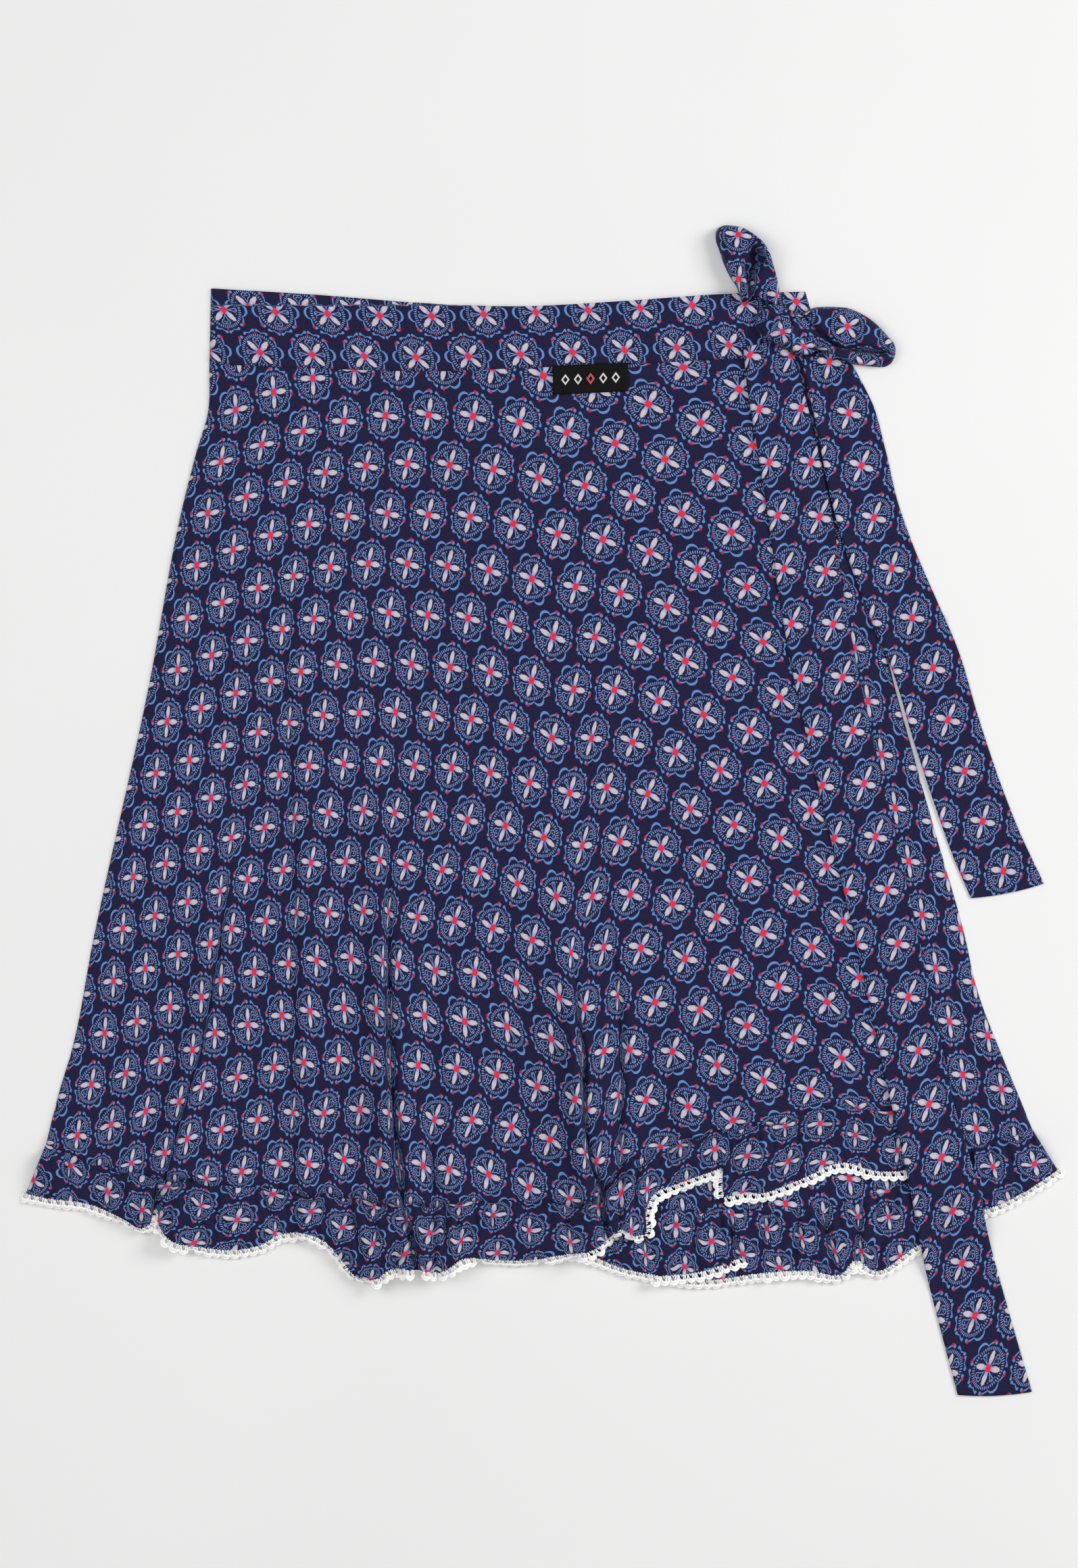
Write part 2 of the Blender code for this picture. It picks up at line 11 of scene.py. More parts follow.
import bmesh
import bpy
import numpy as np
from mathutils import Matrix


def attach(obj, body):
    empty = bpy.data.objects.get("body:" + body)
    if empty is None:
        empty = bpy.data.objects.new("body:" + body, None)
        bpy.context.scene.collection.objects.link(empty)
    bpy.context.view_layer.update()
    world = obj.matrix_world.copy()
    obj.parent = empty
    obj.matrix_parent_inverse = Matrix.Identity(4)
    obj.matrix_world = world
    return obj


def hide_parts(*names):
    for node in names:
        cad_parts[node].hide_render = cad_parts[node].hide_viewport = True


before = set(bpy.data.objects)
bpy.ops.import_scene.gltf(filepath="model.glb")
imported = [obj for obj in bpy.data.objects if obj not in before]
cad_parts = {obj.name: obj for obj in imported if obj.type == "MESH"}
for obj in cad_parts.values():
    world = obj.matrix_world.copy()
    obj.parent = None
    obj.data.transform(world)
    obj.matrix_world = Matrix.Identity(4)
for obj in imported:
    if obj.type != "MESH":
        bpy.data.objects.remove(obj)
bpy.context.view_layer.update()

MM = 0.001


def in_scene(name, data):
    """A new object that the scene holds."""
    made = bpy.data.objects.new(name, data)
    bpy.context.scene.collection.objects.link(made)
    return made


print("nodes in the frame:", len(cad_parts))

# %% [markdown]
# ## Camera, light and floor
# The skirt lies on a pale floor and is looked at from straight above. A long lens keeps the
# outline true, and broad soft lights leave only a faint shadow round the cloth. The camera comes
# first, so that every later step can be judged in the same view.

# %% Camera and lights
PIXEL_MM = 0.43  # size of a pixel on the floor
PICTURE = (1595, 2320)  # pixels across and down
MIDDLE_PIXEL = (803, 1197)  # lies over the frame's origin
CAMERA_HEIGHT = 2.6

view_x = (PICTURE[0] / 2 - MIDDLE_PIXEL[0]) * PIXEL_MM * MM
view_y = (MIDDLE_PIXEL[1] - PICTURE[1] / 2) * PIXEL_MM * MM
view_tall = PICTURE[1] * PIXEL_MM * MM

camera = in_scene("camera", bpy.data.cameras.new("camera"))
bpy.context.scene.camera = camera
camera.location = (view_x, view_y, CAMERA_HEIGHT)
camera.data.sensor_fit = "VERTICAL"
camera.data.sensor_height = 24.0
camera.data.lens = camera.data.sensor_height * CAMERA_HEIGHT / view_tall
camera.data.clip_end = 50.0

Lamp = namedtuple("Lamp", "name x y z size watts")
LAMPS = [
    Lamp("softbox_right", 2.2, 0.7, 1.5, 1.2, 41.0),
    Lamp("softbox_left", -1.9, 0.4, 2.2, 1.6, 23.0),
    Lamp("softbox_top", 0.0, -1.2, 3.2, 2.4, 20.0),
]
for lamp in LAMPS:
    light = bpy.data.lights.new(lamp.name, "AREA")
    light.size = lamp.size
    light.energy = lamp.watts
    holder = in_scene(lamp.name, light)
    holder.location = (lamp.x, lamp.y, lamp.z)
    aim = -holder.location.copy()
    holder.rotation_euler = aim.to_track_quat("-Z", "Y").to_euler()

bpy.context.scene.view_settings.view_transform = "Standard"
world = bpy.data.worlds.new("studio")
bpy.context.scene.world = world
world.use_nodes = True
backdrop = world.node_tree.nodes["Background"].inputs
backdrop["Color"].default_value = (0.985, 0.985, 1.0, 1.0)
backdrop["Strength"].default_value = 0.37
print("lens in mm:", round(camera.data.lens, 1))

# %% [markdown]
# ## Colours and nodes
# Colours are written as sRGB hex, as a designer would note them, and Blender's shaders want them
# linear. Materials here are built from many small sums, so a socket gets a little wrapper that
# lets a formula be written as one: `(p * p + q * q).root()` adds the nodes that work it out.

# %% Colour and formula helpers
def linear(hex_colour):
    """An sRGB hex colour as linear red, green, blue and alpha."""
    parts = [int(hex_colour[i : i + 2], 16) / 255 for i in (0, 2, 4)]
    return [c / 12.92 if c <= 0.04045 else ((c + 0.055) / 1.055) ** 2.4 for c in parts] + [1.0]


def add_node(tree, kind, links=None, **settings):
    """Adds a node with its settings, and links or sets its inputs, given by name or number.

    Where a node is given, its first output is meant."""
    made = tree.nodes.new(kind)
    for name, value in settings.items():
        setattr(made, name, value)
    for name, value in (links or {}).items():
        if isinstance(value, Amount):
            value = value.socket
        if isinstance(value, bpy.types.Node):
            value = value.outputs[0]
        if isinstance(value, bpy.types.NodeSocket):
            tree.links.new(value, made.inputs[name])
        else:
            made.inputs[name].default_value = value
    return made


class Amount:
    """A number that varies over a surface: a socket that takes part in formulas."""

    def __init__(self, tree, socket):
        self.tree = tree
        self.socket = socket

    def math(self, operation, *others, swap=False):
        values = [self, *others]
        if swap:
            values.reverse()
        links = dict(enumerate(values))
        made = add_node(self.tree, "ShaderNodeMath", links, operation=operation)
        return Amount(self.tree, made.outputs[0])

    def __add__(self, other):
        return self.math("ADD", other)

    def __sub__(self, other):
        return self.math("SUBTRACT", other)

    def __rsub__(self, other):
        return self.math("SUBTRACT", other, swap=True)

    def __mul__(self, other):
        return self.math("MULTIPLY", other)

    def __truediv__(self, other):
        return self.math("DIVIDE", other)

    def least(self, other):
        return self.math("MINIMUM", other)

    def most(self, other):
        return self.math("MAXIMUM", other)

    def size(self):
        return self.math("ABSOLUTE")

    def root(self):
        return self.math("SQRT")

    def to_nearest(self, step):
        """How far it is from the nearest whole step."""
        return self - (self / step).math("ROUND") * step

    def inside(self, edge=0.0, blur=0.15):
        """1 where it is under edge and 0 over it, with a soft change between."""
        return ((edge - self) / blur + 0.5).clamp()

    def outside(self, edge=0.0, blur=0.15):
        return ((self - edge) / blur + 0.5).clamp()

    def clamp(self):
        return self.most(0.0).least(1.0)


def distance(p, q):
    return (p * p + q * q).root()


def mixed(tree, share, under, over):
    """One colour laid over another."""
    made = add_node(tree, "ShaderNodeMix", {0: share, 6: under, 7: over}, data_type="RGBA")
    return made.outputs[2]


def new_finish(name, values):
    """A material with the plain inputs of its shader set, and the tree to work in."""
    material = bpy.data.materials.new(name)
    material.use_nodes = True
    for key, value in values.items():
        material.node_tree.nodes["Principled BSDF"].inputs[key].default_value = value
    return material, material.node_tree


def finished(tree, colour, relief=None, strength=0.0, depth=0.0):
    """Gives the shader its colour and, from a texture, a bump as deep as depth in mm."""
    shader = tree.nodes["Principled BSDF"]
    tree.links.new(colour, shader.inputs["Base Color"])
    if relief is not None:
        bump = add_node(tree, "ShaderNodeBump", {"Height": relief.outputs["Fac"],
                                                 "Strength": strength, "Distance": depth * MM})
        tree.links.new(bump.outputs[0], shader.inputs["Normal"])


print("helpers ready")

# %% [markdown]
# ## The print
# The cloth is navy viscose crepe with a roller-printed medallion: a red middle, four cream
# petals, a ring of dashes, a scalloped blue ring and a crescent at two sides. Such a print could
# be an image, but a drawing by formula stays sharp at any size and is worked out in millimetres.
# The repeat is a half drop: columns of flowers, each column shifted by half a step. A point finds
# its nearest flower, and everything else is drawn from the two distances to that flower's middle:
# p along the column and q across it.

# %% Sizes and colours of the print
REPEAT = 35.4  # mm from flower to flower along a column
COLUMN = 26.2  # mm from column to column
RAYS = 48
PEBBLE = 0.55  # mm across a pebble of the crepe

INK = {
    "ground": linear("130F2A"),
    "inner_ground": linear("101333"),
    "worn_ground": linear("232145"),
    "salt": linear("6A6894"),
    "blue": linear("6795D6"),
    "fine_blue": linear("8BAAE6"),
    "pale_blue": linear("9FAEE2"),
    "cream": linear("D6CAD0"),
    "red": linear("E32F40"),
    "dark_red": linear("C0253E"),
}


# %% The medallion as a formula
def medallion(tree, p, q):
    """Masks of the inks, from 0 to 1, for a point p and q mm from the flower's middle."""
    far = distance(p, q)
    turn = q.math("ARCTAN2", p)
    ap, aq = p.size(), q.size()
    # four petals on the diagonals: a pale blue foot and a cream leaf
    d1 = ((p + q) * math.sqrt(0.5)).size()
    d2 = ((p - q) * math.sqrt(0.5)).size()
    along, beside = d1.most(d2), d1.least(d2)
    leaf = distance((along - 6.2) / 3.45, beside / (1.62 - (along - 6.2) * 0.12))
    foot = (beside - (along - 2.2) * 0.1 - 1.15).most(along - 6.0)
    # a drop on the long axis and a heart on the short one, each only an outline
    drop = distance(ap - 7.6, q) - 1.25
    drop = drop.least((aq - (ap - 2.6) * 0.2).most(ap - 7.4))
    heart = distance(ap - 1.3, aq - 7.7) - 1.45
    heart = heart.least((ap - (aq - 3.4) * 0.52).most(aq - 7.6))
    lines = drop.size().least(heart.size())
    # seeds between the petals, and a ring of short rays
    seeds = distance(far - 8.5, turn.to_nearest(math.pi / 10) * 8.5)
    seeds = seeds.least(distance(ap - 0.9, aq - 7.4)).least(distance(ap - 7.8, aq))
    ray = (turn.to_nearest(2 * math.pi / RAYS) * 10.8).size()
    rays = distance(ray, ((far - 10.8).size() - 0.6).most(0.0))
    # the scalloped ring: in each quarter two brush strokes meet in a bracket, and one trails off
    quarter = ap.math("ARCTAN2", aq)
    wing = (quarter - 0.314).size() / 0.26
    bracket = (far - wing.least(1.1).root() * 1.6 - 12.5).size() - wing * wing * 0.3 - 0.3
    bracket = bracket.most((wing - 1.0) * 4.0)
    tail = (quarter - 0.8) / 0.48
    trail = (far + tail * tail * 1.5 - 14.0).size() + tail * 0.4 - 0.7
    trail = trail.most(((tail - 0.5).size() - 0.5) * 6.0)
    heads = distance(ap - 1.2, aq - 14.0).least(distance(ap - 7.3, aq - 11.7))
    heads = heads.least(distance(ap - 9.8, aq - 9.2)) - 0.9
    # a crescent at either end of the long axis
    crescent = distance(ap - 12.2, q) - 3.9
    crescent = crescent.most(3.9 - distance(ap - 10.6, q))
    tips = distance(ap - 11.4, aq - 8.6)
    berries = distance(ap, aq - 12.0)
    fine = rays.inside(0.32, 0.25).most(seeds.inside(0.42, 0.3)).most(lines.inside(0.27, 0.25))
    fine = fine * leaf.outside(1.15, 0.1) * foot.outside(0.2, 0.3)
    return {
        "fine": fine,
        "ribbon": bracket.least(trail).least(heads).least(crescent).inside(0.0, 0.3),
        "foot": foot.inside(0.0, 0.4),
        "leaf": leaf.inside(1.0, 0.18),
        "tip": (along - beside * 0.8 - 2.6) / 1.9,
        "within": far.inside(12.0, 2.0),
        "dark_red": tips.inside(1.05, 0.3).most(berries.inside(0.75, 0.3)),
        "red": (along - 2.1).inside(0.0, 0.3),
    }


# %% [markdown]
# ## Printed viscose crepe
# Crepe is woven from hard-twisted thread, so its face is pebbled and matt: it has no gloss and a
# faint bloom at a low angle. One noise makes the pebbles as bump. Others mottle the dye, leave it
# grainy, and let the ink's edges wander a little, because the cloth drinks it in. The pattern
# follows a UV map named "cut", whose numbers are millimetres on the flat cloth, so it bends with
# every fold.

# %% Material: printed crepe
def printed_crepe():
    """Navy crepe with the medallion print: matt, with a faint bloom."""
    material, tree = new_finish("printed_viscose_crepe", {
        "Roughness": 0.86, "Sheen Weight": 0.05, "Sheen Roughness": 0.5,
        "Specular IOR Level": 0.12})
    cut = add_node(tree, "ShaderNodeUVMap", uv_map="cut")
    place = add_node(tree, "ShaderNodeTexCoord")
    bleed, mottle, grain, pebble = [
        add_node(tree, "ShaderNodeTexNoise", {"Vector": where, "Scale": scale, "Detail": detail})
        for where, scale, detail in [
            (cut, 1.3, 2.0), (cut, 0.9, 3.0), (cut, 2.4, 1.0),
            (place.outputs["Object"], 1 / (PEBBLE * MM), 2.0)]]
    wander = add_node(tree, "ShaderNodeVectorMath", {0: bleed.outputs["Color"],
                                                     1: (0.5, 0.5, 0.5)}, operation="SUBTRACT")
    spread = add_node(tree, "ShaderNodeVectorMath", {0: wander, 1: (0.4, 0.4, 0.0), 2: cut},
                      operation="MULTIPLY_ADD")
    split = add_node(tree, "ShaderNodeSeparateXYZ", {0: spread})
    s, t = [Amount(tree, split.outputs[i]) for i in (0, 1)]
    near_p, near_q = s.to_nearest(REPEAT), t.to_nearest(2 * COLUMN)
    next_p = (s - REPEAT / 2).to_nearest(REPEAT)
    next_q = (t - COLUMN).to_nearest(2 * COLUMN)
    nearer = distance(near_p, near_q).math("LESS_THAN", distance(next_p, next_q))
    p = next_p + (near_p - next_p) * nearer
    q = next_q + (near_q - next_q) * nearer
    masks = medallion(tree, p, q)

    thin = Amount(tree, mottle.outputs["Fac"]) * 0.5 + 0.62  # how well each ink took
    ground = mixed(tree, masks["within"], INK["ground"], INK["inner_ground"])
    colour = mixed(tree, mottle, ground, INK["worn_ground"])
    leaf = mixed(tree, masks["tip"].clamp(), INK["pale_blue"], INK["cream"])
    inks = [(masks["fine"] * thin, 0.85, INK["fine_blue"]), (masks["ribbon"], 0.95, INK["blue"]),
            (masks["foot"], 0.9, INK["pale_blue"]), (masks["leaf"], 0.97, leaf),
            (masks["dark_red"], 0.92, INK["dark_red"]), (masks["red"], 0.97, INK["red"])]
    for mask, cover, ink in inks:
        colour = mixed(tree, mask * cover, colour, ink)
    grain = Amount(tree, grain.outputs["Fac"]) - 0.5
    colour = mixed(tree, (grain * 1.5).clamp(), colour, INK["ground"])
    colour = mixed(tree, (grain * -0.6).clamp(), colour, INK["salt"])
    finished(tree, colour, pebble, 0.35, 0.12)
    return material


CREPE = printed_crepe()
print("nodes in the crepe:", len(CREPE.node_tree.nodes))

# %% [markdown]
# ## Lines, patches and folds
# A laid garment is drawn best by its edges. Each edge is a smooth line through a few points
# measured in millimetres from the middle of the skirt. A panel is a patch stretched between four
# such edges, and a gathered strip is ruled between two. Soft folds then lift the patch: each has a
# line that runs down the cloth, a steep face on one side of it and a long easy slope beyond.

# %% Drawing helpers
Fold = namedtuple("Fold", "top_x top_y foot_x foot_y side height rise fall")
# A crease grows over its first mm (growth) and takes in cloth (hidden) within a width (spread).
Crease = namedtuple("Crease", "points depth width side hidden spread growth")
Stretch = namedtuple("Stretch", "x y width")


def length_shares(points):
    """The share of a line's length that lies before each of its points."""
    steps = np.hypot(*np.diff([tuple(p)[:2] for p in points], axis=0).T)
    return np.concatenate([[0.0], np.cumsum(steps)]) / steps.sum()


def curve(points):
    """A smooth line through the points, as a function of the share of its length."""
    pts = np.array([tuple(p)[:2] for p in points], float)
    knots = length_shares(pts)
    slopes = np.gradient(pts, knots, axis=0)

    def at(share):
        share = np.asarray(share, float)
        i = np.clip(np.searchsorted(knots, share, side="right") - 1, 0, len(knots) - 2)
        width = knots[i + 1] - knots[i]
        t = ((share - knots[i]) / width)[..., None]
        width = width[..., None]
        return (
            (2 * t**3 - 3 * t**2 + 1) * pts[i]
            + (t**3 - 2 * t**2 + t) * width * slopes[i]
            + (3 * t**2 - 2 * t**3) * pts[i + 1]
            + (t**3 - t**2) * width * slopes[i + 1]
        )

    return at


def cut_short(line, first, last):
    """The stretch of a line between two shares of its length."""
    return lambda share: line(first + (last - first) * np.asarray(share, float))


def share_at_x(line, x):
    """Where a line that runs from left to right passes x."""
    shares = spaced(400)
    return float(np.interp(x, line(shares)[:, 0], shares))


def drawn_in(line, first, last):
    """A line moved along x: by first at its start and by last at its end."""

    def at(share):
        shift = first + (last - first) * np.asarray(share, float)
        return line(share) + np.stack([shift, np.zeros_like(shift)], -1)

    return at


def patch(top, bottom, left, right, across, down):
    """Points between four edges, as rows from top to bottom. Each row may have its own shares."""
    across = np.broadcast_to(across, (len(down), np.shape(across)[-1]))
    u = across[..., None]
    v = np.asarray(down)[:, None, None]
    edges = (
        (1 - v) * top(across) + v * bottom(across)
        + (1 - u) * left(down)[:, None] + u * right(down)[:, None]
    )
    corners = (
        (1 - u) * (1 - v) * top(0.0) + u * (1 - v) * top(1.0)
        + (1 - u) * v * bottom(0.0) + u * v * bottom(1.0)
    )
    return edges - corners


def strip(top, bottom, across, down):
    """Points of a strip ruled between two long edges."""
    v = np.asarray(down)[:, None, None]
    return (1 - v) * top(across)[None] + v * bottom(across)[None]


def smoothstep(t):
    t = np.clip(t, 0, 1)
    return t * t * (3 - 2 * t)


def bell(x):
    return np.exp(-(x**2))


def spaced(count):
    """Numbers from 0 to 1 in even steps."""
    return np.linspace(0, 1, count)


def unit(rows):
    """Vectors, one to a row, brought to length 1."""
    return rows / np.linalg.norm(rows, axis=1)[:, None]


def turned(x, y, angle):
    """Places turned anticlockwise about the origin."""
    c, s = math.cos(angle), math.sin(angle)
    return np.dstack([x * c - y * s, x * s + y * c])


def cloth_run(xy, z, axis):
    """Running length of cloth along one axis of a grid."""
    run = np.linalg.norm(np.diff(np.dstack([xy, z]), axis=axis), axis=-1)
    pad = [(0, 0), (0, 0)]
    pad[axis] = (1, 0)
    return np.pad(np.cumsum(run, axis=axis), pad)


def fold_height(folds, xy):
    """Height that the soft folds add at each point."""
    total = np.zeros(xy.shape[:-1])
    for f in folds:
        run = (f.top_y - xy[..., 1]) / (f.top_y - f.foot_y)
        line_x = f.top_x + (f.foot_x - f.top_x) * run
        away = (xy[..., 0] - line_x) * f.side
        ridge = smoothstep(away / f.rise) * smoothstep((f.rise + f.fall - away) / f.fall)
        total += f.height * smoothstep(run) ** 0.8 * ridge
    return total


def beside_crease(crease, xy):
    """How far each point is from a crease's line, and how fully the crease has grown there."""
    x, y = np.array(crease.points).T
    line_x = np.interp(-xy[..., 1], -y, x)
    grown = smoothstep((y[0] - xy[..., 1]) / crease.growth)
    return xy[..., 0] - line_x, grown


def crease_height(creases, xy):
    """A narrow groove with a swell on each side, the higher one on the crease's own side."""
    total = np.zeros(xy.shape[:-1])
    for c in creases:
        away, grown = beside_crease(c, xy)
        near = bell((away * c.side - 5) / 8)
        far = 0.55 * bell((away * c.side + 7) / 10)
        groove = (near + far) * np.exp(-np.abs(away / c.width) ** 1.5)
        total += c.depth * grown**1.6 * (near + far - 1.25 * groove)
    return total


def crease_hidden(creases, xy):
    """Cloth that the creases have swallowed on the way from the left edge to each point."""
    total = np.zeros(xy.shape[:-1])
    for c in creases:
        away, grown = beside_crease(c, xy)
        spread = c.spread + 16 * (1 - grown)
        total += c.hidden * grown * smoothstep(away / spread + 0.5)
    return total


# %% [markdown]
# ## Laying one piece on another
# The pieces are laid in the order in which a person would put them down. A height map, the pile,
# remembers the top of the cloth so far, and the next piece is lifted just clear of it and then
# relaxed, so it bridges small steps. The frame's solids use walls 1.2 mm thick with 0.3 mm
# between them, and these sheets keep their upper faces. Real crepe is thinner, so a single sheet
# is made half a millimetre thick below that face.

# %% The pile
WALL = 1.2  # mm, as on the frame's solids
GAP = 0.3  # mm between two of them
CLOTH = 0.5  # mm, a sheet as it is made here
CELL = 1.5  # mm, one square of the height map
FLAT_BELOW = 0.25  # mm of rise that a sheet doesn't follow


class Pile:
    """Height of the cloth laid so far, on a square grid over the surface."""

    def __init__(self, reach_x=360.0, reach_y=400.0):
        self.low = np.array([-reach_x, -reach_y])
        self.top = np.zeros((int(2 * reach_x / CELL), int(2 * reach_y / CELL)))
        self.laid = []

    def close_layer(self):
        """Pieces sewn edge to edge share a layer: they count for what is laid after it."""
        for xy, high in self.laid:
            self.raise_to(xy, high)
        self.laid = []

    def cells(self, xy):
        place = np.floor((xy - self.low) / CELL).astype(int)
        return np.clip(place, 0, np.array(self.top.shape) - 1)

    def raise_to(self, xy, high):
        """Lifts the pile's top to a sheet's upper face, given as a grid of its points."""
        grid = np.dstack([xy, high])
        for axis in (0, 1):
            step = np.abs(np.diff(grid[..., :2], axis=axis)).max()
            parts = int(math.ceil(step / (0.7 * CELL)))
            at = np.linspace(0, grid.shape[axis] - 1, (grid.shape[axis] - 1) * parts + 1)
            first = np.minimum(at.astype(int), grid.shape[axis] - 2)
            shape = [1, 1, 1]
            shape[axis] = len(at)
            t = (at - first).reshape(shape)
            grid = (1 - t) * np.take(grid, first, axis) + t * np.take(grid, first + 1, axis)
        place = self.cells(grid[..., :2]).reshape(-1, 2)
        np.maximum.at(self.top, (place[:, 0], place[:, 1]), grid[..., 2].ravel())

    def under(self, xy, reach):
        """Lowest height at which a sheet can pass each point, within the reach round it."""
        field = self.top
        for axis in (0, 1):
            spread = field.copy()
            cells = math.ceil(reach / CELL)
            for shift in range(-cells, cells + 1):
                spread = np.maximum(spread, np.roll(field, shift, axis))
            field = spread
        place = self.cells(xy)
        found = field[place[..., 0], place[..., 1]]
        return np.where(found > 0, found + GAP, 0.0)


def relaxed(need, passes, keep=True):
    """Heights that run smoothly and, with keep, are nowhere lower than what they have to clear."""
    z = need.copy()
    for _ in range(passes):
        wide = np.pad(z, 1, mode="edge")
        around = wide[:-2, 1:-1] + wide[2:, 1:-1] + wide[1:-1, :-2] + wide[1:-1, 2:]
        z = np.maximum(need, around / 4) if keep else (z + around / 4) / 2
    return z


def rounded_side(z, xy, side, radius=2.2, foot=CLOTH):
    """Turns the cloth down to the surface at a side fold, along a quarter round."""
    edge = 0 if side == "left" else -1
    away = np.linalg.norm(xy - xy[:, [edge]], axis=-1)
    bend = np.sqrt(np.clip(1 - (1 - np.clip(away / radius, 0, 1)) ** 2, 0, 1))
    return foot + (z - foot) * bend


def bridged(xy, reach, passes, eased):
    """What a sheet has to clear, and how it lies across that by its own stiffness."""
    need = PILE.under(xy, reach)
    low = relaxed(relaxed(need, passes), eased, keep=False)
    low[low < FLAT_BELOW] = 0.0
    return need, low


def cloth_sheet(name, xy, z, cut, thickness=CLOTH, material=CREPE):
    """Makes a grid of points one sheet of cloth, with its places on the flat cloth as a UV map."""
    rows, cols = z.shape
    places = np.dstack([xy, z]).reshape(-1, 3) * MM
    index = np.arange(rows * cols).reshape(rows, cols)
    corners = [index[:-1, :-1], index[1:, :-1], index[1:, 1:], index[:-1, 1:]]
    faces = np.stack(corners, -1).reshape(-1, 4)
    mesh = bpy.data.meshes.new(name)
    mesh.from_pydata(places.tolist(), [], faces.tolist())
    layer = mesh.uv_layers.new(name="cut")
    layer.data.foreach_set("uv", cut.reshape(-1, 2)[faces.ravel()].astype(np.float32).ravel())
    mesh.shade_smooth()
    mesh.materials.append(material)
    shell = in_scene(name, mesh).modifiers.new("cloth", "SOLIDIFY")
    shell.thickness = thickness * MM
    shell.offset = -1.0
    print(name, "faces:", len(faces), "highest mm:", round(float(z.max()), 1))


def lay(name, xy, top_z, cut, sides=(), thickness=CLOTH):
    """Turns a piece down at its side folds, adds it to the pile and returns its points."""
    for side in sides:
        top_z = rounded_side(top_z, xy, side)
    PILE.laid.append((xy, top_z))
    cloth_sheet(name, xy, top_z, cut, thickness)
    return xy, top_z


PILE = Pile()
print("pile cells:", PILE.top.size)

# %% [markdown]
# ## Edges of the pieces
# These are the outlines of the laid pieces, from left to right or from top to bottom. The frame's
# solids have the same ones. Here the hem of the outer strip has a few more points, where its lace
# steps up and turns back on itself.

# %% Outlines
WAIST_TOP = [(-211, 331), (-145, 327), (-66, 321), (-20, 319.5), (54, 323), (110, 327), (167, 329)]
WAIST_SEAM = [
    (-212, 283), (-139, 280), (-65, 278.5), (-7, 280.5), (60, 283), (120, 286), (179, 288),
]
LEFT_SIDE = [
    (-212, 283), (-213, 252), (-220, 228), (-228, 197), (-251, 76), (-286, -84), (-300, -155),
    (-307, -178), (-316, -213),
]
RIGHT_SIDE = [
    (179, 288), (190, 240), (207, 160), (220, 93), (235, 37), (252, -23), (268, -79), (276, -114),
    (293, -159), (305, -188), (311, -203),
]
WRAP_EDGE = [(150, 287), (160, 213), (176, 117), (190, 50), (202, -14), (221, -94), (242, -194)]
UNDER_EDGE = [(-40, 279), (-55, 100), (-70, -100), (-80, -246)]
OUTER_SEAM = [
    (-316, -213), (-296, -222), (-249, -234), (-192, -240), (-134, -246), (-86, -252), (-26, -249),
    (29, -249), (50, -229), (96, -209), (133, -203), (184, -190), (242, -194),
]
INNER_SEAM = [
    (-80, -246), (20, -250), (120, -256), (188, -252), (237, -236), (275, -216), (311, -203),
]
BACK_SEAM = [
    (-316, -213), (-230, -236), (-120, -247), (0, -250), (120, -252), (230, -237), (311, -203),
]
OUTER_HEM = [
    (-329, -245), (-316, -248), (-288, -252), (-268, -260), (-254, -266.5), (-249.5, -264),
    (-247, -256), (-244, -264.5), (-238, -273), (-218, -279), (-198, -281), (-180, -278),
    (-166, -271), (-152, -270), (-138, -276), (-129, -286), (-119, -297), (-106, -299),
    (-97, -293), (-79, -293), (-64, -294), (-50, -286), (-30, -287), (-8, -287), (14, -283),
    (31.8, -280), (41.7, -273), (49.9, -267), (58, -271), (65.5, -269), (65.5, -257), (70, -246.5),
    (88, -238), (106, -231.5), (114.5, -229.5), (114, -238), (114.5, -246), (128, -244.5),
    (137.2, -244.7), (163.8, -236), (190.5, -225.5), (211, -230.5), (250, -228),
]
INNER_HEM = [
    (-86, -282), (0, -280), (32, -285), (46, -291), (72, -297), (105, -300), (136, -296),
    (168, -294), (190, -296), (199, -288), (210, -294), (237, -279), (262, -266), (279, -256),
    (291, -252), (306, -244), (327.8, -230),
]
TURNED_BACK = [(71.5, -297.5), (101.9, -294.0), (126, -285.5)]
BACK_HEM = [
    (-320, -236), (-288, -245), (-250, -260), (-200, -268), (-150, -266), (-110, -280),
    (-60, -280), (0, -277), (60, -284), (120, -290), (190, -288), (237, -270), (280, -246),
    (317, -223),
]
OUTER_FOLDS = [
    Fold(-158, 176, -160, -40, 1, 3.0, 9, 34), Fold(-96, 140, -91, -290, -1, 7.0, 9, 46),
    Fold(-70, -60, -64, -300, 1, 4.0, 9, 26), Fold(18, 60, 36, -270, -1, 6.0, 9, 42),
    Fold(70, -60, 84, -250, 1, 3.5, 9, 30), Fold(-200, 60, -216, -290, -1, 4.0, 9, 34),
    Fold(-240, -60, -258, -270, -1, 3.0, 8, 24), Fold(128, 30, 152, -240, -1, 3.0, 10, 32),
]
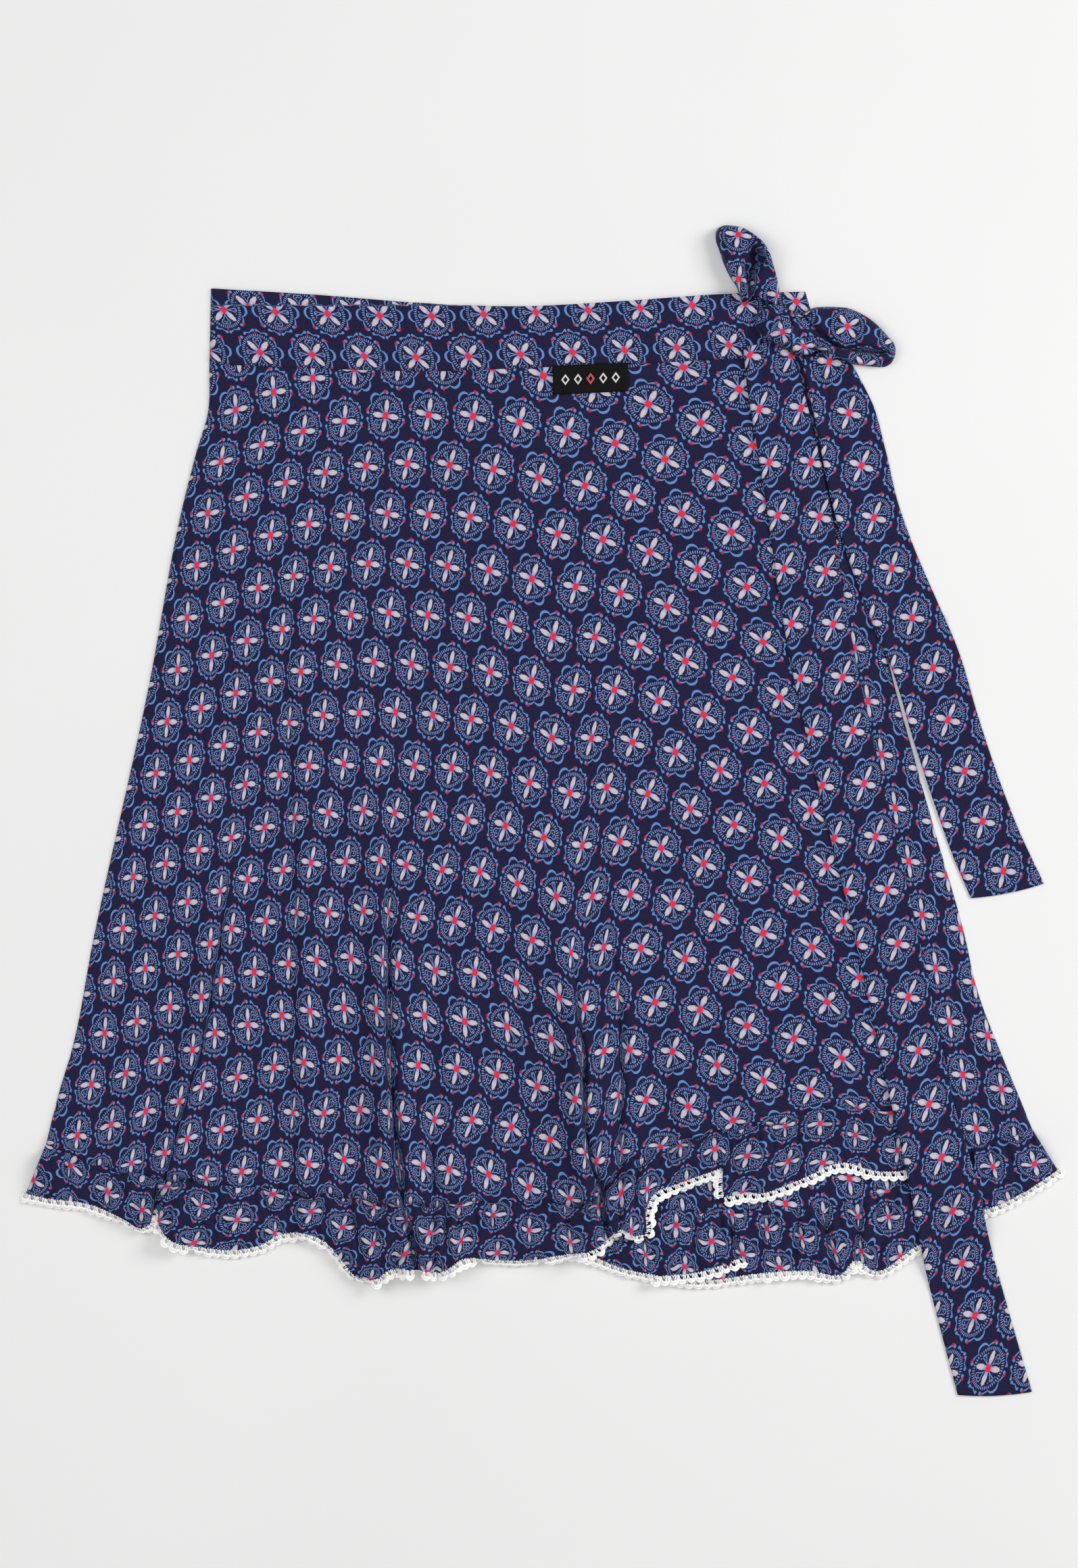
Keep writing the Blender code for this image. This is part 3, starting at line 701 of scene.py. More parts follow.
OUTER_CREASES = [
    Crease([(-196, 20), (-202, -57), (-205, -87), (-211, -122), (-218, -156), (-230, -195),
            (-238, -228), (-246, -262)], 3.6, 2.2, -1, 5.0, 4.0, 110),
    Crease([(-154, 190), (-155, 165), (-160, 136), (-163, 102), (-163, 63), (-161, 10),
            (-158, -60)], 1.6, 3.4, 1, 2.5, 6.0, 70),
    Crease([(-99, 70), (-98, 20), (-97.6, -44), (-97.4, -130), (-96.8, -163), (-94.2, -196),
            (-92.5, -214), (-89.9, -234), (-87.7, -256), (-80, -290)], 6.4, 2.4, -1, 9.0, 8.0,
           210),
    Crease([(-73, -175), (-70, -226), (-69, -242), (-68, -275)], 3.6, 2.2, 1, 6.0, 5.0, 55),
    Crease([(13, -30), (18.5, -79), (21.1, -110), (23.7, -140), (26.2, -158), (26.7, -199),
            (30.5, -225), (35.7, -236), (38, -259), (44, -275)], 6.2, 2.0, -1, 11.0, 2.5, 140),
    Crease([(38, -35), (43.9, -87), (46.4, -104), (49.5, -130), (50.3, -156), (49.9, -190),
            (49, -216)], 3.4, 2.2, 1, 6.0, 4.0, 110),
]
INNER_FOLDS = [Fold(244, 0, 282, -260, -1, 3.0, 8, 22), Fold(262, -90, 304, -250, 1, 2.0, 6, 12)]
TieGrain = namedtuple("TieGrain", "first pitch side drift lean")
LONG_GRAIN = TieGrain(10.6, 34.55, 14.5, -0.0215, 0.48)
SHORT_GRAIN = TieGrain(7.9, 34.26, 3.1, 0.0, 0.35)
LONG_TIE = [
    Stretch(142, 296, 30), Stretch(147, 270, 35), Stretch(155, 232, 38), Stretch(163, 190, 41),
    Stretch(170, 140, 41), Stretch(179, 90, 41), Stretch(190, 40, 41), Stretch(203, -15, 41),
    Stretch(216, -70, 40), Stretch(229, -130, 40), Stretch(243, -195, 39), Stretch(253, -235, 42),
    Stretch(264, -285, 44), Stretch(276, -330, 45), Stretch(287.5, -371.6, 46),
]
SHORT_TIE = [
    Stretch(176, 290, 26), Stretch(184, 272, 33), Stretch(192, 250, 39), Stretch(199, 220, 41),
    Stretch(206, 190, 41), Stretch(216, 160, 42), Stretch(230, 125, 44), Stretch(243, 95, 44),
    Stretch(256, 52, 44), Stretch(270, 10, 44), Stretch(282, -22, 45), Stretch(295.5, -52, 46),
]
print("points on the outer hem:", len(OUTER_HEM))

# %% [markdown]
# ## Panels
# Each panel is cut as part of a wide ring, so that it flares from the waist to the hem. Laid
# flat, its lower half is wider than the cloth wants to lie, and the spare width falls into soft
# folds. The outer front is cut on the bias, and bias cloth stretches down its length, so the
# flowers stand tall and slim in the middle of the panel. To print a panel, each of its points is
# first placed on the ring, by its share of the way across and down. The ring is then turned and
# stretched onto the grain of the cloth.

# %% Panel helpers
SKIRT_LENGTH = 530.0  # mm of a panel, from waist seam to strip
SEAM_WIDE = 9.0  # mm over which a panel rolls into the strip's seam
SEAM_ROLL = 4.0  # mm of cloth that this roll takes
PROBES = 241  # columns by which a crease is found on a panel
LONG_CREASE = 150  # mm from which a crease has columns of its own
Ring = namedtuple("Ring", "radius angle start drift along across flower_x flower_y")
OUTER_RING = Ring(438, 1.008, 0.293, 0.064, (0.57, 0.693), (0.602, -0.608), 127.0, 515.6)
BACK_RING = Ring(563, 1.0, 0.5, 0.0, (0.394, 0.814), (0.584, -0.402), 20.0, 640)
Grain = namedtuple("Grain", "x y along across")
INNER_GRAIN = Grain(249.8, -101.1, (1.008, 0.777), (0.866, -0.552))
SEAM_ROWS = np.array([0.0, 0.7, 1.4, 2.2, 3.1, 4.1, 5.3, 6.7, 8.4, 10.4]) / SKIRT_LENGTH


def flat_length(xy, z, hidden):
    """Running width of cloth along each row, folds and swallowed cloth included, from 0 to 1."""
    run = cloth_run(xy, z, 1) + hidden
    run = run - run[:, :1]
    return run / run[:, -1:]


def on_grain(place, x, y):
    """Place on the cloth's grain: two steps that a panel's x and y take there."""
    return np.dstack([place.along[0] * x + place.along[1] * y,
                      place.across[0] * x + place.across[1] * y])


def on_ring(ring, share, down):
    """Place on the cloth's grain of points at a share across and down a flared panel."""
    share = share + ring.drift * np.sin(math.pi * share)
    radius = ring.radius + SKIRT_LENGTH * down[:, None]
    angle = ring.angle * share - ring.start
    x = radius * np.sin(angle) - ring.flower_x
    y = radius * np.cos(angle) - ring.flower_y
    return on_grain(ring, x, y)


def uneven(line, seed, size=1.1):
    """A seam that was gathered by hand wanders a little to both sides of its line."""
    draw = np.random.default_rng(seed)
    waves = [(draw.uniform(9, 38), draw.uniform(0, 6.3), draw.uniform(0.3, 0.7))
             for _ in range(6)]

    def at(share):
        share = np.asarray(share, float)
        inside = smoothstep(np.minimum(share, 1 - share) / 0.03)
        shift = sum(tall * np.sin(2 * math.pi * often * share + start)
                    for often, start, tall in waves)
        return line(share) + np.stack([np.zeros_like(share), size * inside * shift], -1)

    return at


def fitted_grid(edges, creases, columns, rows):
    """Points of a panel: rows crowd at its two seams, and columns follow the creases."""
    steady = spaced(rows)[1:-1]
    steady = steady[(steady > SEAM_ROWS[-1]) & (steady < 1 - SEAM_ROWS[-1])]
    down = np.concatenate([SEAM_ROWS, steady, 1 - SEAM_ROWS[::-1]])
    plain = patch(*edges, spaced(PROBES), down)
    on_crease = [np.zeros(len(down))]
    for c in creases:
        away, _ = beside_crease(c, plain)
        share = np.array([np.interp(0, row, spaced(PROBES)) for row in away])
        y = plain[:, PROBES // 2, 1]
        first = np.argmin(np.abs(y - c.points[0][1]))
        last = np.argmin(np.abs(y - c.points[-1][1]))
        share[:first], share[last:] = share[first], share[last]
        on_crease.append(share)
    on_crease.append(np.ones(len(down)))
    on_crease = np.array(on_crease)
    knots = on_crease.mean(axis=1)
    even = spaced(columns)
    crowd = np.ones(columns)
    for k in knots[1:-1]:
        crowd += 1.6 * bell((even - k) * 70)
    crowd = np.concatenate([[0], np.cumsum(crowd[1:])])
    even = np.interp(np.linspace(0, crowd[-1], columns), crowd, even)
    for k in knots[1:-1]:
        even[np.argmin(np.abs(even - k))] = k
    across = np.array([np.interp(even, knots, on_crease[:, i]) for i in range(len(down))])
    return patch(*edges, across, down), down


def panel(name, edges, folds, creases, place, gather, columns, rows, sides=()):
    """Lays one flared panel, given top, lower, left and right edge, and returns its points."""
    aligned = [c for c in creases if c.points[0][1] - c.points[-1][1] > LONG_CREASE]
    xy, down = fitted_grid(edges, aligned, columns, rows)
    need, low = bridged(xy, 8.0, 40, 6)
    from_seam = down[:, None] * SKIRT_LENGTH
    from_strip = (1 - down[:, None]) * SKIRT_LENGTH
    height = fold_height(folds, xy) + crease_height(creases, xy)
    run = flat_length(xy, low + height, crease_hidden(creases, xy))
    height = height * smoothstep((from_strip + 4) / 10)
    height += seam_relief(gather, xy, -from_strip / STRIP_DEEP) * bell(from_strip / SEAM_WIDE)
    dip = 0.7 * bell(from_seam / 1.4)
    top_z = low + (WALL if need.max() > 0 else CLOTH)
    if need.max() > 0:
        top_z = top_z + np.maximum(height, -0.4) - dip
    if isinstance(place, Grain):  # it lies true to its grain
        cut = on_grain(place, xy[..., 0] - place.x, xy[..., 1] - place.y)
    else:
        rolled = smoothstep((down - 1) * SKIRT_LENGTH / SEAM_WIDE + 1)
        cut = on_ring(place, run, down + SEAM_ROLL / SKIRT_LENGTH * rolled)
    return lay(name, xy, top_z, cut, sides)


# %% [markdown]
# ## Gathered strips
# The strip at the hem is longer than the edge it is sewn to, and a drawn thread gathers it. Right
# under the seam the cloth balloons a little and is cut by small tight puckers, which fade out
# below. Here and there a deeper hollow runs down to the hem, where the spare cloth has been
# pressed together. Every pucker is a narrow groove of its own, with a length and slant drawn from
# a fixed seed, and the hollows are given one by one.

# %% Strip helpers
STRIP_CLOTH = 48.0  # mm of cloth from seam to hem
STRIP_DEEP = 34.0  # mm from seam to hem as it lies
SWALLOWED = 1.7  # mm of cloth in a hollow for each mm of its depth
PUCKERED = 0.5  # the same for a pucker, which is narrow
STRIP_TURN = math.radians(38)  # strips are cut on another line of the cloth than the panels
# The strip shows from shown_from on, in x, and its print is shifted along by flower.
Gather = namedtuple("Gather", "balloon step depth seed shown_from flower hollows")
Hollow = namedtuple("Hollow", "top_x foot_x depth width reach")
Pucker = namedtuple("Pucker", "x slant depth width reach")
OUTER_GATHER = Gather(4.6, 6.5, 3.4, 3, -400, 0.0, [
    Hollow(-303, -300, 2.5, 3.0, 1.0), Hollow(-262, -268, 2.2, 2.5, 0.8),
    Hollow(-244, -247, 6.0, 3.4, 1.3), Hollow(-217, -214, 2.5, 2.5, 0.7),
    Hollow(-178, -166, 3.5, 3.0, 1.1), Hollow(-140, -138, 3.0, 2.6, 0.8),
    Hollow(-122, -112, 3.5, 2.8, 1.2), Hollow(-106, -104, 3.0, 2.6, 1.1),
    Hollow(-87, -78, 7.0, 3.6, 1.5), Hollow(-62, -60, 4.0, 2.6, 1.0),
    Hollow(-34, -30, 3.0, 2.8, 0.9), Hollow(-12, -8, 3.0, 2.6, 0.8),
    Hollow(14, 20, 3.5, 2.8, 1.0), Hollow(37, 42, 6.5, 3.6, 1.5),
    Hollow(61, 56, 4.0, 2.8, 1.2), Hollow(88, 92, 2.5, 2.6, 0.8),
    Hollow(118, 122, 3.0, 2.4, 1.0), Hollow(160, 166, 3.0, 3.0, 1.0),
    Hollow(194, 197, 2.5, 2.6, 0.9),
])
INNER_GATHER = Gather(4.0, 6.5, 3.2, 8, 20, 14.0, [
    Hollow(62, 66, 3.0, 2.8, 0.9), Hollow(98, 96, 3.5, 2.6, 1.0),
    Hollow(118, 126, 5.5, 2.8, 1.2), Hollow(141, 138, 4.0, 2.6, 0.9),
    Hollow(162, 160, 4.0, 2.4, 0.8), Hollow(178, 186, 6.0, 3.0, 1.2),
    Hollow(203, 198, 6.0, 3.0, 1.5),
    Hollow(255, 262, 2.0, 2.8, 0.8), Hollow(284, 296, 2.6, 2.8, 1.0),
])
BACK_GATHER = Gather(0.3, 12.0, 0.2, 5, 400, 6.0, [])


def puckers(gather, xy):
    """The puckers of a gathered seam, by chance but the same each time."""
    draw = np.random.default_rng(gather.seed)
    x = xy[..., 0].min()
    while x < xy[..., 0].max():
        x += gather.step * draw.uniform(0.5, 1.5)
        reach, slant = draw.uniform(0.2, 0.8), draw.uniform(-10, 10)
        depth, width = gather.depth * draw.uniform(0.4, 1.15), draw.uniform(1.0, 1.9)
        yield Pucker(x, slant, depth, width, reach)


def in_sight(gather, x):
    """Relief is full where a strip shows and faint where another piece lies on it."""
    return 0.1 + 0.9 * smoothstep((x - gather.shown_from) / 30)


def seam_relief(gather, xy, v):
    """The ridge of the seam allowance and the puckers that cross it. The share v is 0 there."""
    x = xy[..., 0]
    height = 1.5 * bell(v * STRIP_DEEP / 8) + 0 * x
    height -= 0.9 * bell(v * STRIP_DEEP / 1.3)
    for p in puckers(gather, xy):
        away = (x - p.x - p.slant * v) / (p.width * (0.7 + np.abs(v) * 1.8))
        fade = (1 - smoothstep(v / p.reach)) * (1 - smoothstep(-v / (0.4 * p.reach)))
        height -= p.depth * bell(away) * fade
    return height * in_sight(gather, x)


def strip_relief(gather, xy, v):
    """Height that ballooning adds and hollows take away."""
    x = xy[..., 0]
    height = gather.balloon * np.sin(math.pi * np.clip(v * 1.05, 0, 1) ** 0.6) ** 0.8 + 0 * x
    for h in gather.hollows:
        away = (x - h.top_x - (h.foot_x - h.top_x) * v) / (h.width * (0.6 + 0.5 * v))
        swell = 0.45 * bell(away / 3) - 1.15 * np.exp(-(np.abs(away) ** 1.6))
        height += h.depth * swell * (1 - smoothstep(v / h.reach - 0.15)) * smoothstep(v * 8 + 0.5)
    draw = np.random.default_rng(gather.seed + 20)
    place = x.min()
    while place < x.max():  # short crumples at all angles
        place += gather.step * draw.uniform(0.3, 1.1)
        middle, long = draw.uniform(0.15, 0.95), draw.uniform(0.12, 0.3)
        slant, wide = draw.uniform(-16, 16), draw.uniform(0.9, 1.9)
        deep = gather.depth * draw.uniform(-0.25, 0.75)
        away = (x - place - slant * (v - middle)) / wide
        height -= deep * np.exp(-(away**2) - ((v - middle) / long) ** 2)
    return height * in_sight(gather, x)


def strip_hidden(gather, xy, v):
    """Cloth that hollows and puckers have swallowed on the way from the left to each point."""
    hidden = 0 * xy[..., 0]
    for h in gather.hollows:
        away = xy[..., 0] - h.top_x - (h.foot_x - h.top_x) * v
        spread = 3 + 14 * smoothstep(v / h.reach - 0.15)
        hidden += SWALLOWED * h.depth * smoothstep(away / spread + 0.5)
    for p in puckers(gather, xy):
        spread = p.width * (1.5 + 6 * smoothstep(v / p.reach - 0.3))
        away = (xy[..., 0] - p.x - p.slant * v) / spread
        hidden += PUCKERED * p.depth * smoothstep(away + 0.5)
    return hidden


def ruffle(name, seam, hem, folds, creases, gather, columns, rows, panel_points, sides=()):
    """Lays a gathered strip under a panel, whose folds and creases run on through it."""
    across = spaced(columns)
    down = spaced(rows) ** 1.25
    xy = strip(seam, hem, across, down)
    need, low = bridged(xy, 3.0, 16, 3)
    v = down[:, None]
    panel_xy, panel_z = panel_points
    order = np.argsort(panel_xy[-1][:, 0])
    sewn = np.interp(xy[0][:, 0], panel_xy[-1][order, 0], panel_z[-1][order])
    blend = smoothstep(v * 5)
    floor_z = low + WALL - 0.3 * (need <= 0)
    top_z = low + WALL + fold_height(folds, xy) + crease_height(creases, xy)
    top_z = top_z + strip_relief(gather, xy, v) + seam_relief(gather, xy, v)
    top_z = top_z * blend + (sewn[None] - 0.2) * (1 - blend)
    top_z = np.maximum(top_z, floor_z)
    gentle = relaxed(top_z, 14, keep=False)
    along = cloth_run(xy, 0 * gentle, 1)
    along = along / along[:, -1:] * np.ptp(xy[0][:, 0]) + strip_hidden(gather, xy, v)
    depth = cloth_run(xy, gentle, 0)
    depth = depth / np.median(depth[-1]) * STRIP_CLOTH
    cut = turned(along, depth, STRIP_TURN) * (1, -1) + (gather.flower, 0)
    print(name, "has mm of cloth:", round(float(along.max())))
    return lay(name, xy, top_z, cut, sides)


# %% The waistband
TUCK_Y = 320.3  # a tuck along the band's upper edge, on its left half
TUCK_TAKES = 24.0  # mm of cloth that the tuck hides
BandGrain = namedtuple("BandGrain", "x y lean along")
BAND_GRAIN = BandGrain(-113.5, 8.7, 0.257, 1.069)


def band(name, first, last, sides=()):
    """A stretch of the waistband, from share first to share last of the waist."""
    seam = cut_short(curve(WAIST_SEAM), first, last)
    top = cut_short(curve(WAIST_TOP), first, last)
    columns = int(220 * (last - first))
    xy = strip(top, seam, spaced(columns), spaced(48))
    x, y = xy[..., 0], xy[..., 1]
    need = PILE.under(xy, 6.0)
    low = relaxed(relaxed(need, 20), 4, keep=False)
    top_z = low + (WALL if need.max() > 0 else CLOTH)
    above = y - y[-1]
    up = above - BAND_GRAIN.y
    cut = np.dstack([(x - BAND_GRAIN.x + BAND_GRAIN.lean * up) * BAND_GRAIN.along,
                     up + TUCK_TAKES * ((y > TUCK_Y) & (x < 0))])
    if need.max() > 0:
        top_z = top_z - 0.5 * bell((y - TUCK_Y) / 0.9) * (x < 0)
        top_z = top_z - 0.7 * bell(above / 1.3)
        top_z = top_z + 0.5 * bell((above - 4) / 3)
    lay(name, xy, top_z, cut, sides)


# %% Ties
TIE_COLUMNS, TIE_ROWS = 41, 240
END_FROM = 0.85  # share of its length from which a tie's end grows aslant
TIE_CLOTH = 0.9  # two layers of crepe, turned and pressed
END_SLANT = math.tan(math.radians(13))  # a tie's end is cut at a slant
END_BOW = 1.6  # mm by which the end swells in its middle


def tie(name, stretches, grain, crossed=()):
    """A tie's flat band along its middle line, resting on whatever lies below.

    Where it was once folded, at lengths given in crossed, a crease runs across it."""
    shares = spaced(TIE_ROWS)
    centre = curve(stretches)(shares)
    ahead = unit(np.gradient(centre, axis=0))
    right = np.stack([-ahead[:, 1], ahead[:, 0]], -1)
    width = np.interp(shares, length_shares(stretches), [s.width for s in stretches])[:, None]
    aside = np.linspace(-0.5, 0.5, TIE_COLUMNS)[None] * width
    slip = aside * END_SLANT + END_BOW * (1 - (2 * aside / width) ** 2)
    slip = slip * smoothstep((shares - END_FROM) / (1 - END_FROM))[:, None]
    xy = centre[:, None] + right[:, None] * aside[..., None] + ahead[:, None] * slip[..., None]
    length = np.concatenate([[0], np.cumsum(np.hypot(*np.diff(centre, axis=0).T))])[:, None]
    low = bridged(xy, 2.0, 30, 6)[1]
    # gathers fan out from the knot and die away
    gathers = np.cos(aside / width * 2 * math.pi * 2.6 + 0.7)
    gathers = 1.3 * (gathers + 0.4) * np.exp(-length / 38)
    edge = width / 2 - np.abs(aside)
    top_z = low + WALL + np.maximum(gathers, -0.2) - 0.5 * (1 - smoothstep(edge / 1.2))
    top_z = top_z + 0.35 * bell((edge - 2.0) / 1.4)
    for at in crossed:
        beyond = length - at - 0.27 * aside
        top_z = top_z + 2.0 * bell((beyond + 2.6) / 2.2)
        top_z = top_z - 1.1 * bell(beyond / 0.9)
    top_z = np.maximum(top_z, TIE_CLOTH + 0.1)
    drifted = aside - grain.side - grain.drift * length
    along = (length + slip - grain.first) * REPEAT / grain.pitch + grain.lean * drifted
    print(name, "is long in mm:", round(float(length[-1, 0])))
    lay(name, xy, top_z, np.dstack([along, drifted]), thickness=TIE_CLOTH)


# %% [markdown]
# ## Lace by Geometry Nodes
# The edging is cotton crochet: fine strands hang from the cloth's edge to a thick chain, and each
# group ends in a round scallop. One group is modelled as a few short tubes. Geometry Nodes walk
# along the hem, put a copy every 5.5 mm, turn it square to the hem and shake it a little, because
# no two hand-made stitches are alike.

# %% Material: cotton thread
TWIST = 0.5  # mm along the thread from turn to turn


def crochet_cotton():
    """Mercerised cotton, near white and matt, with a painted glow and its twist as a fine ripple.
    """
    white = linear("FFFEFC")
    material, tree = new_finish("crochet_cotton", {
        "Roughness": 0.8, "Sheen Weight": 0.25, "Subsurface Weight": 0.1,
        "Subsurface Radius": (0.001, 0.001, 0.001),
        "Emission Color": white, "Emission Strength": 0.09})  # painted glow: the thread gives off a little light of its own
    place = add_node(tree, "ShaderNodeTexCoord")
    fuzz = add_node(tree, "ShaderNodeTexNoise", {"Vector": place.outputs["Object"],
                                                 "Scale": 1 / (TWIST * MM), "Detail": 3.0})
    darker = [c * 0.95 for c in white[:3]] + [1.0]
    finished(tree, mixed(tree, fuzz, darker, white), fuzz, 0.6, 0.2)
    return material


LACE_COTTON = crochet_cotton()

# %% One scallop of the lace
PITCH = 5.5  # mm from scallop to scallop
LACE_DEPTH = 6.4  # mm that the lace hangs
LACE_DROP = (-4.0, 6.5)  # mm that its lower edge may rise or drop
LACE_LIFT = 1.0  # mm from what lies under it to its middle
Thread = namedtuple("Thread", "radius sides points")
SCALLOP = [
    Thread(0.45, 3, [(-2.4, 0.6), (-2.2, -1.0), (-2.5, -2.5)]),
    Thread(0.5, 3, [(-1.5, 0.3), (-1.6, -1.0), (-1.2, -2.6)]),
    Thread(0.4, 3, [(-0.6, 0.8), (0.1, -0.8), (0.8, 0.5)]),
    Thread(0.5, 3, [(1.5, 0.7), (1.3, -1.0), (1.3, -2.6)]),
    Thread(0.45, 3, [(2.4, 0.3), (2.3, -1.0), (2.4, -2.5)]),
    Thread(1.0, 4, [(-2.9, -2.2), (-2.4, -3.6), (-1.3, -4.8), (0.0, -5.3), (1.3, -4.8),
                    (2.4, -3.6), (2.9, -2.2)]),
    Thread(1.25, 4, [(-1.7, -2.6), (-1.0, -3.4), (0.0, -3.7), (1.0, -3.4), (1.7, -2.6)]),
]


def tube(bm, thread):
    """A short flattened tube along a few points."""
    rings = []
    pts = np.array(thread.points)
    for spot, way in zip(pts, unit(np.gradient(pts, axis=0))):
        ring = []
        for k in range(thread.sides):
            angle = 2 * math.pi * (k + 0.5) / thread.sides
            aside = math.cos(angle) * thread.radius
            place = (spot[0] - way[1] * aside, spot[1] + way[0] * aside,
                     math.sin(angle) * thread.radius * 0.8)
            ring.append(bm.verts.new([c * MM for c in place]))
        rings.append(ring)
    for a, b in zip(rings, rings[1:]):
        for k in range(thread.sides):
            n = (k + 1) % thread.sides
            bm.faces.new((a[k], b[k], b[n], a[n]))
    bm.faces.new(rings[0])
    bm.faces.new(rings[-1][::-1])


def small_part(name, threads):
    """A little object for Geometry Nodes to repeat."""
    bm = bmesh.new()
    for thread in threads:
        tube(bm, thread)
    bmesh.ops.recalc_face_normals(bm, faces=bm.faces)
    mesh = bpy.data.meshes.new(name)
    bm.to_mesh(mesh)
    bm.free()
    mesh.shade_smooth()
    return bpy.data.objects.new(name, mesh)


scallop = small_part("one_scallop", SCALLOP)
print("faces in a scallop:", len(scallop.data.polygons))


# %% The tree that repeats a part along a line
def repeat_tree():
    """Named inputs: Part, Step in metres, Shake in radians, Material."""
    tree = bpy.data.node_groups.new("repeat_along_edge", "GeometryNodeTree")
    inputs = {"Geometry": "Geometry", "Part": "Object", "Step": "Float", "Shake": "Float",
              "Material": "Material"}
    for name, kind in inputs.items():
        tree.interface.new_socket(name, in_out="INPUT", socket_type="NodeSocket" + kind)
    tree.interface.new_socket("Geometry", in_out="OUTPUT", socket_type="NodeSocketGeometry")
    given = add_node(tree, "NodeGroupInput").outputs
    line = add_node(tree, "GeometryNodeMeshToCurve", {"Mesh": given["Geometry"]})
    points = add_node(tree, "GeometryNodeCurveToPoints",
                      {"Curve": line, "Length": given["Step"]}, mode="LENGTH")
    along = add_node(tree, "FunctionNodeAlignRotationToVector",
                     {"Vector": points.outputs["Tangent"]}, axis="X")
    up = add_node(tree, "GeometryNodeInputNamedAttribute", {"Name": "up"},
                  data_type="FLOAT_VECTOR")
    level = add_node(tree, "FunctionNodeAlignRotationToVector",
                     {"Rotation": along, "Vector": up}, axis="Z", pivot_axis="X")
    least, most = [
        add_node(tree, "ShaderNodeVectorMath", {0: (way, way, way), "Scale": given["Shake"]},
                 operation="SCALE")
        for way in (-1.0, 1.0)]
    shaken = add_node(tree, "FunctionNodeRandomValue", {0: least, 1: most, "Seed": 7},
                      data_type="FLOAT_VECTOR")
    turn = add_node(tree, "FunctionNodeEulerToRotation", {0: shaken})
    posed = add_node(tree, "FunctionNodeRotateRotation", {0: level, 1: turn},
                     rotation_space="LOCAL")
    size = add_node(tree, "FunctionNodeRandomValue", {2: 0.92, 3: 1.1, "Seed": 11},
                    data_type="FLOAT")
    part = add_node(tree, "GeometryNodeObjectInfo", {"Object": given["Part"]})
    copies = add_node(tree, "GeometryNodeInstanceOnPoints",
                      {"Points": points, "Instance": part.outputs["Geometry"],
                       "Rotation": posed, "Scale": size.outputs[1]})
    real = add_node(tree, "GeometryNodeRealizeInstances", {"Geometry": copies})
    painted = add_node(tree, "GeometryNodeSetMaterial",
                       {"Geometry": real, "Material": given["Material"]})
    result = add_node(tree, "NodeGroupOutput")
    tree.links.new(painted.outputs[0], result.inputs[0])
    return tree


REPEAT_TREE = repeat_tree()


def repeated(name, lines, part, step, shake, material):
    """Runs the tree along lines of points in mm and keeps the result as a plain mesh.

    A line's rows hold a point and, after it, the way up that a copy has there."""
    mesh = bpy.data.meshes.new(name + "_line")
    places, edges = [], []
    for line in lines:
        first = len(places)
        places += (np.asarray(line)[:, :3] * MM).tolist()
        edges += [(first + i, first + i + 1) for i in range(len(line) - 1)]
    mesh.from_pydata(places, edges, [])
    up = mesh.attributes.new("up", "FLOAT_VECTOR", "POINT")
    up.data.foreach_set("vector", np.concatenate(lines)[:, 3:].astype(np.float32).ravel())
    holder = in_scene(name + "_line", mesh)
    nodes = holder.modifiers.new("repeat", "NODES")
    nodes.node_group = REPEAT_TREE
    values = {"Part": part, "Step": step * MM, "Shake": shake, "Material": material}
    for item in REPEAT_TREE.interface.items_tree:
        if item.in_out == "INPUT" and item.name in values:
            nodes[item.identifier] = values[item.name]
    seen = holder.evaluated_get(bpy.context.evaluated_depsgraph_get())
    piece = in_scene(name, bpy.data.meshes.new_from_object(seen))
    bpy.data.objects.remove(holder)
    print(name, "faces:", len(piece.data.polygons))
    return piece


def softened(values, half):
    """Values evened out over a few neighbours on each side."""
    wide = np.pad(values, half, mode="edge")
    return np.convolve(wide, np.ones(2 * half + 1) / (2 * half + 1), "valid")


def lace(name, xy, z, doubled=None):
    """Lace along the last row of a strip. It hangs down to what lies under it.

    Where a hem is turned back, its lace lies doubled along a line of its own, on the first."""
    edge = xy[-1]
    ahead = unit(np.gradient(np.column_stack([softened(c, 6) for c in edge.T]), axis=0))
    outward = np.stack([ahead[:, 1], -ahead[:, 0]], -1)
    rest = PILE.under((edge + outward * LACE_DEPTH * 0.8)[None], 3.0)[0] + LACE_LIFT
    high = np.maximum(z[-1] + 0.1, PILE.under(edge[None], 2.0)[0] + LACE_LIFT)
    drop = softened(np.clip(high - rest, *LACE_DROP), 4)
    high = softened(high, 2)
    tilt = np.arcsin(drop / LACE_DEPTH)
    up = np.column_stack([outward * np.sin(tilt)[:, None], np.cos(tilt)])
    lines = [np.column_stack([edge - outward * 0.2, high, up])]
    if doubled:  # the second line lies on the first
        again = doubled(spaced(40))
        over = np.interp(again[:, 0], edge[:, 0], high) + 1.8
        lines.append(np.column_stack([again, over, 0 * again, 1 + 0 * over]))
    piece = repeated(name, lines, scallop, PITCH, 0.08, LACE_COTTON)
    places = np.empty(len(piece.data.vertices) * 3, np.float32)
    piece.data.vertices.foreach_get("co", places)
    places[2::3] = np.maximum(places[2::3], 0.1 * MM)  # threads that touch the floor lie on it
    piece.data.vertices.foreach_set("co", places)
    reach = spaced(6)[:, None]
    hem = edge[None] + outward[None] * (LACE_DEPTH * reach)[..., None]
    PILE.laid.append((hem, high * (1 - reach) + rest * reach + 0.8))


# %% [markdown]
# ## Laying the skirt
# Back, inner front and outer front are made alike: a panel, the strip and the lace at its hem, and
# its stretch of waistband. Each of the three is one layer of the pile, and the ties come last.

